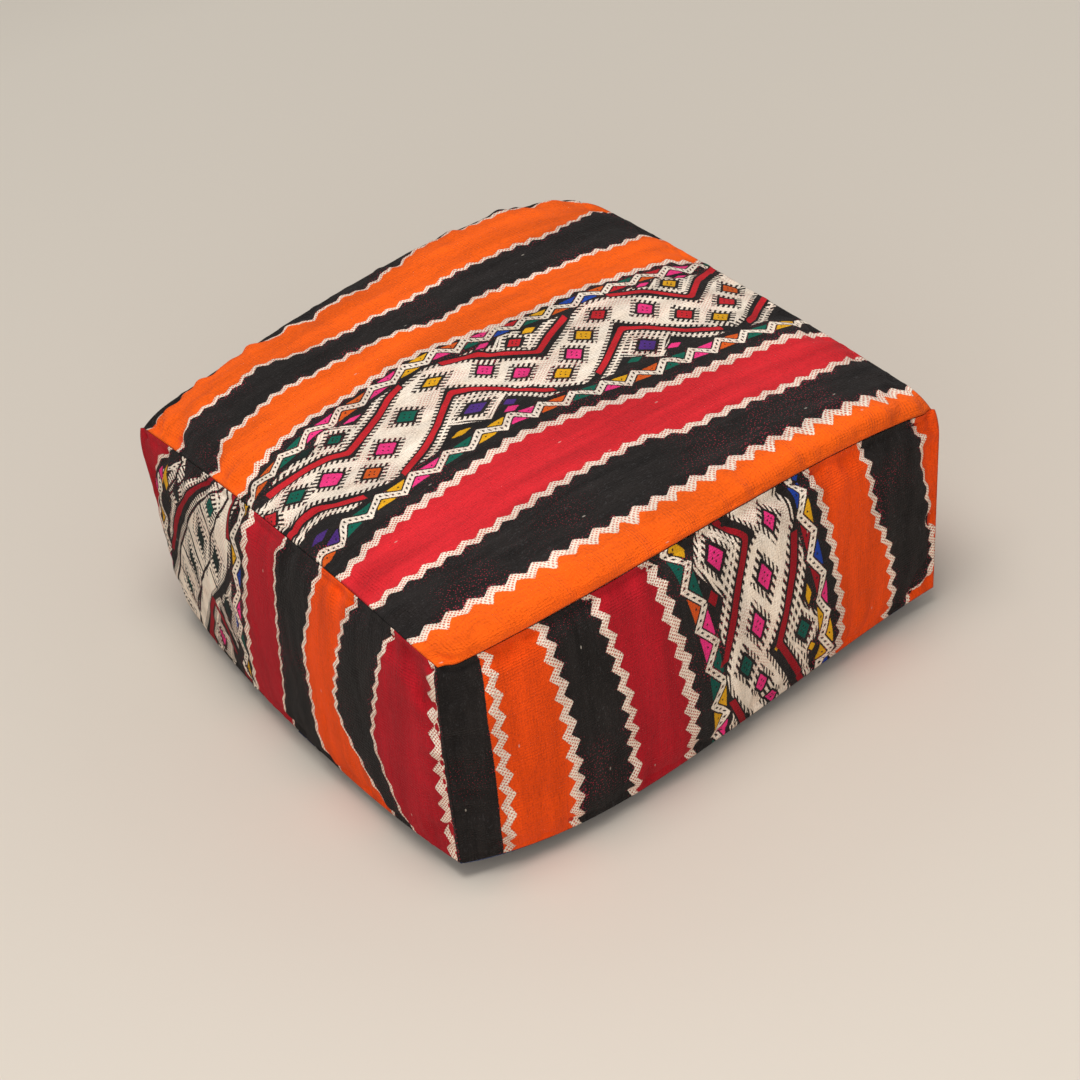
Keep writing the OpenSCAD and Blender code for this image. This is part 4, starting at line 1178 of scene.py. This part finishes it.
def makeMetal(node, name, body, material, soft):    # the model's own solid with its edges rounded
    bm = bmesh.new()
    bm.from_mesh(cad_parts[node].data)
    bmesh.ops.remove_doubles(bm, verts=bm.verts, dist=weld)
    bmesh.ops.dissolve_limit(bm, angle_limit=math.radians(zipper["flatTo"]), verts=bm.verts, edges=bm.edges)
    post = []                                 # the slider's post is slimmed, so that it runs between the coils
    if node == "zip_slider":
        post = [vert for vert in bm.verts if abs(abs(vert.co.y) - zipper["postHalf"] * mm) < 2 * weld]
        bmesh.ops.scale(bm, verts=post, vec=(1, zipper["postSlim"], 1))
    sharp = [edge for edge in bm.edges if edge.calc_face_angle(0) > math.radians(zipper["sharpFrom"])
             and not (edge.verts[0] in post or edge.verts[1] in post)]
    bmesh.ops.bevel(bm, geom=sharp, offset=soft * mm, offset_type="OFFSET", affect="EDGES", segments=2,
                    profile=0.5, material=-1, clamp_overlap=True)
    bmeshPiece(name, bm, material, body, node)


def rubbedFinish(name, look, rough, shader):  # smooth when new, and dulled and darker here and there by handling
    material, add = newMaterial(name)
    place = add("TexCoord", {}, {}, "Object")
    scuff = add("TexNoise", {}, {"Vector": place, "Scale": 900, "Detail": 4}, "Fac")
    tint = add("Mix", {"data_type": "RGBA"}, {0: scuff, 6: colour(look[0]), 7: colour(look[1])}, 2)
    dull = add("MapRange", {}, {0: scuff, 1: 0.3, 2: 0.7, 3: rough, 4: rough + 0.2})
    surface = add("BsdfPrincipled", {}, {"Base Color": tint, "Roughness": dull, **shader})
    add("OutputMaterial", {}, {0: surface})
    return material


tapeCloth = wovenCloth("polyesterTape", zipper["tape"], 1, 0.8)    # closely woven: flatter and finer than the canvas
nylon = rubbedFinish("drawnNylon", zipper["nylon"], 0.3, {"IOR": 1.53})    # drawn smooth: a soft gloss on each turn
nickel = rubbedFinish("nickelPlatedZinc", zipper["nickel"], 0.28, {"Metallic": 1})    # plated: clear and cool
brass = rubbedFinish("antiqueBrass", zipper["brass"], 0.36, {"Metallic": 1})    # patinated: warm, brown in the hollows
for name, way in (("front", -1), ("back", 1)):
    makeTape(name, way, tapeCloth)
    makeCoil(name, way, nylon)
for node, name, body, slot, metal, soft in (
        ("zip_top_stops", "zip_top_clips", "pouf", "zip_metal", nickel, 0.3),
        ("zip_bottom_stop", "zip_bottom_clip", "pouf", "zip_metal", nickel, 0.4),
        ("zip_slider", "zip_slider_body", "slider", "zip_metal", nickel, 0.18),
        ("zip_pull", "zip_pull_tab", "pull", "pull_metal", brass, 0.22)):
    makeMetal(node, name, body, metal, soft)
print("zip made")


# Floor and light: a pale floor, painted paler away from the pouf to make up for the lamps' fall-off, under soft studio
# light
studio = {
    "floor": ("#D8CDBF", "#EDE3D4"), "paintedLightFrom": (0.5, 1.6),    # painted light: the floor is painted paler over this many metres from the pouf
    "floorSize": 12, "floorDrop": 0.5,        # metres, and the millimetres that it lies below the pouf's base
    "world": "#FFFFFF", "worldLight": 0.44, "aim": (0, 0, 0.1),
    "lamps": {"overhead": ((-0.4, -0.5, 2.6), 1.2, 41), "fill": ((-1.8, -2.4, 1.2), 1.6, 17)},    # place, size, power
}


def makeFloor():
    material, add = newMaterial("floorWithPaintedLight")
    place = add("TexCoord", {}, {}, "Object")
    away = add("VectorMath", {"operation": "LENGTH"}, {0: place}, "Value")
    away = add("MapRange", {}, {0: away, 1: studio["paintedLightFrom"][0], 2: studio["paintedLightFrom"][1]})
    # painted light: paler with distance from the pouf, where the lamps' light falls off
    face = add("Mix", {"data_type": "RGBA"}, {
        0: away, 6: colour(studio["floor"][0]), 7: colour(studio["floor"][1])}, 2)
    surface = add("BsdfPrincipled", {}, {"Base Color": face, "Roughness": 0.8})
    below = add("NewGeometry", {}, {}, "Backfacing")    # seen from below, the floor is clear and lets the light in
    through = add("LightPath", {}, {}, "Transparent Depth")
    below = add("Math", {"operation": "ADD", "use_clamp": True}, {0: below, 1: through})
    surface = add("MixShader", {}, {0: below, 1: surface, 2: add("BsdfTransparent", {}, {})})
    add("OutputMaterial", {}, {0: surface})
    bm = bmesh.new()
    bmesh.ops.create_grid(bm, x_segments=1, y_segments=1, size=studio["floorSize"],
                          matrix=Matrix.Translation((0, 0, -studio["floorDrop"] * mm)))
    mesh = meshFrom(bm, "floor")
    mesh.materials.append(material)
    floor = bpy.data.objects.new("floor", mesh)
    bpy.context.scene.collection.objects.link(floor)


def lightStudio():
    world = bpy.data.worlds.new("studio")
    world.use_nodes = True
    world.node_tree.nodes["Background"].inputs[0].default_value = colour(studio["world"])
    world.node_tree.nodes["Background"].inputs[1].default_value = studio["worldLight"]
    bpy.context.scene.world = world
    for name, (place, size, power) in studio["lamps"].items():
        lamp = bpy.data.objects.new(name, bpy.data.lights.new(name, "AREA"))
        lamp.data.size = size
        lamp.data.energy = power
        lamp.location = place
        lamp.rotation_euler = (Vector(studio["aim"]) - Vector(place)).to_track_quat("-Z", "Y").to_euler()
        bpy.context.scene.collection.objects.link(lamp)
    bpy.context.scene.view_settings.view_transform = "Standard"


makeFloor()
lightStudio()
print("studio lit")
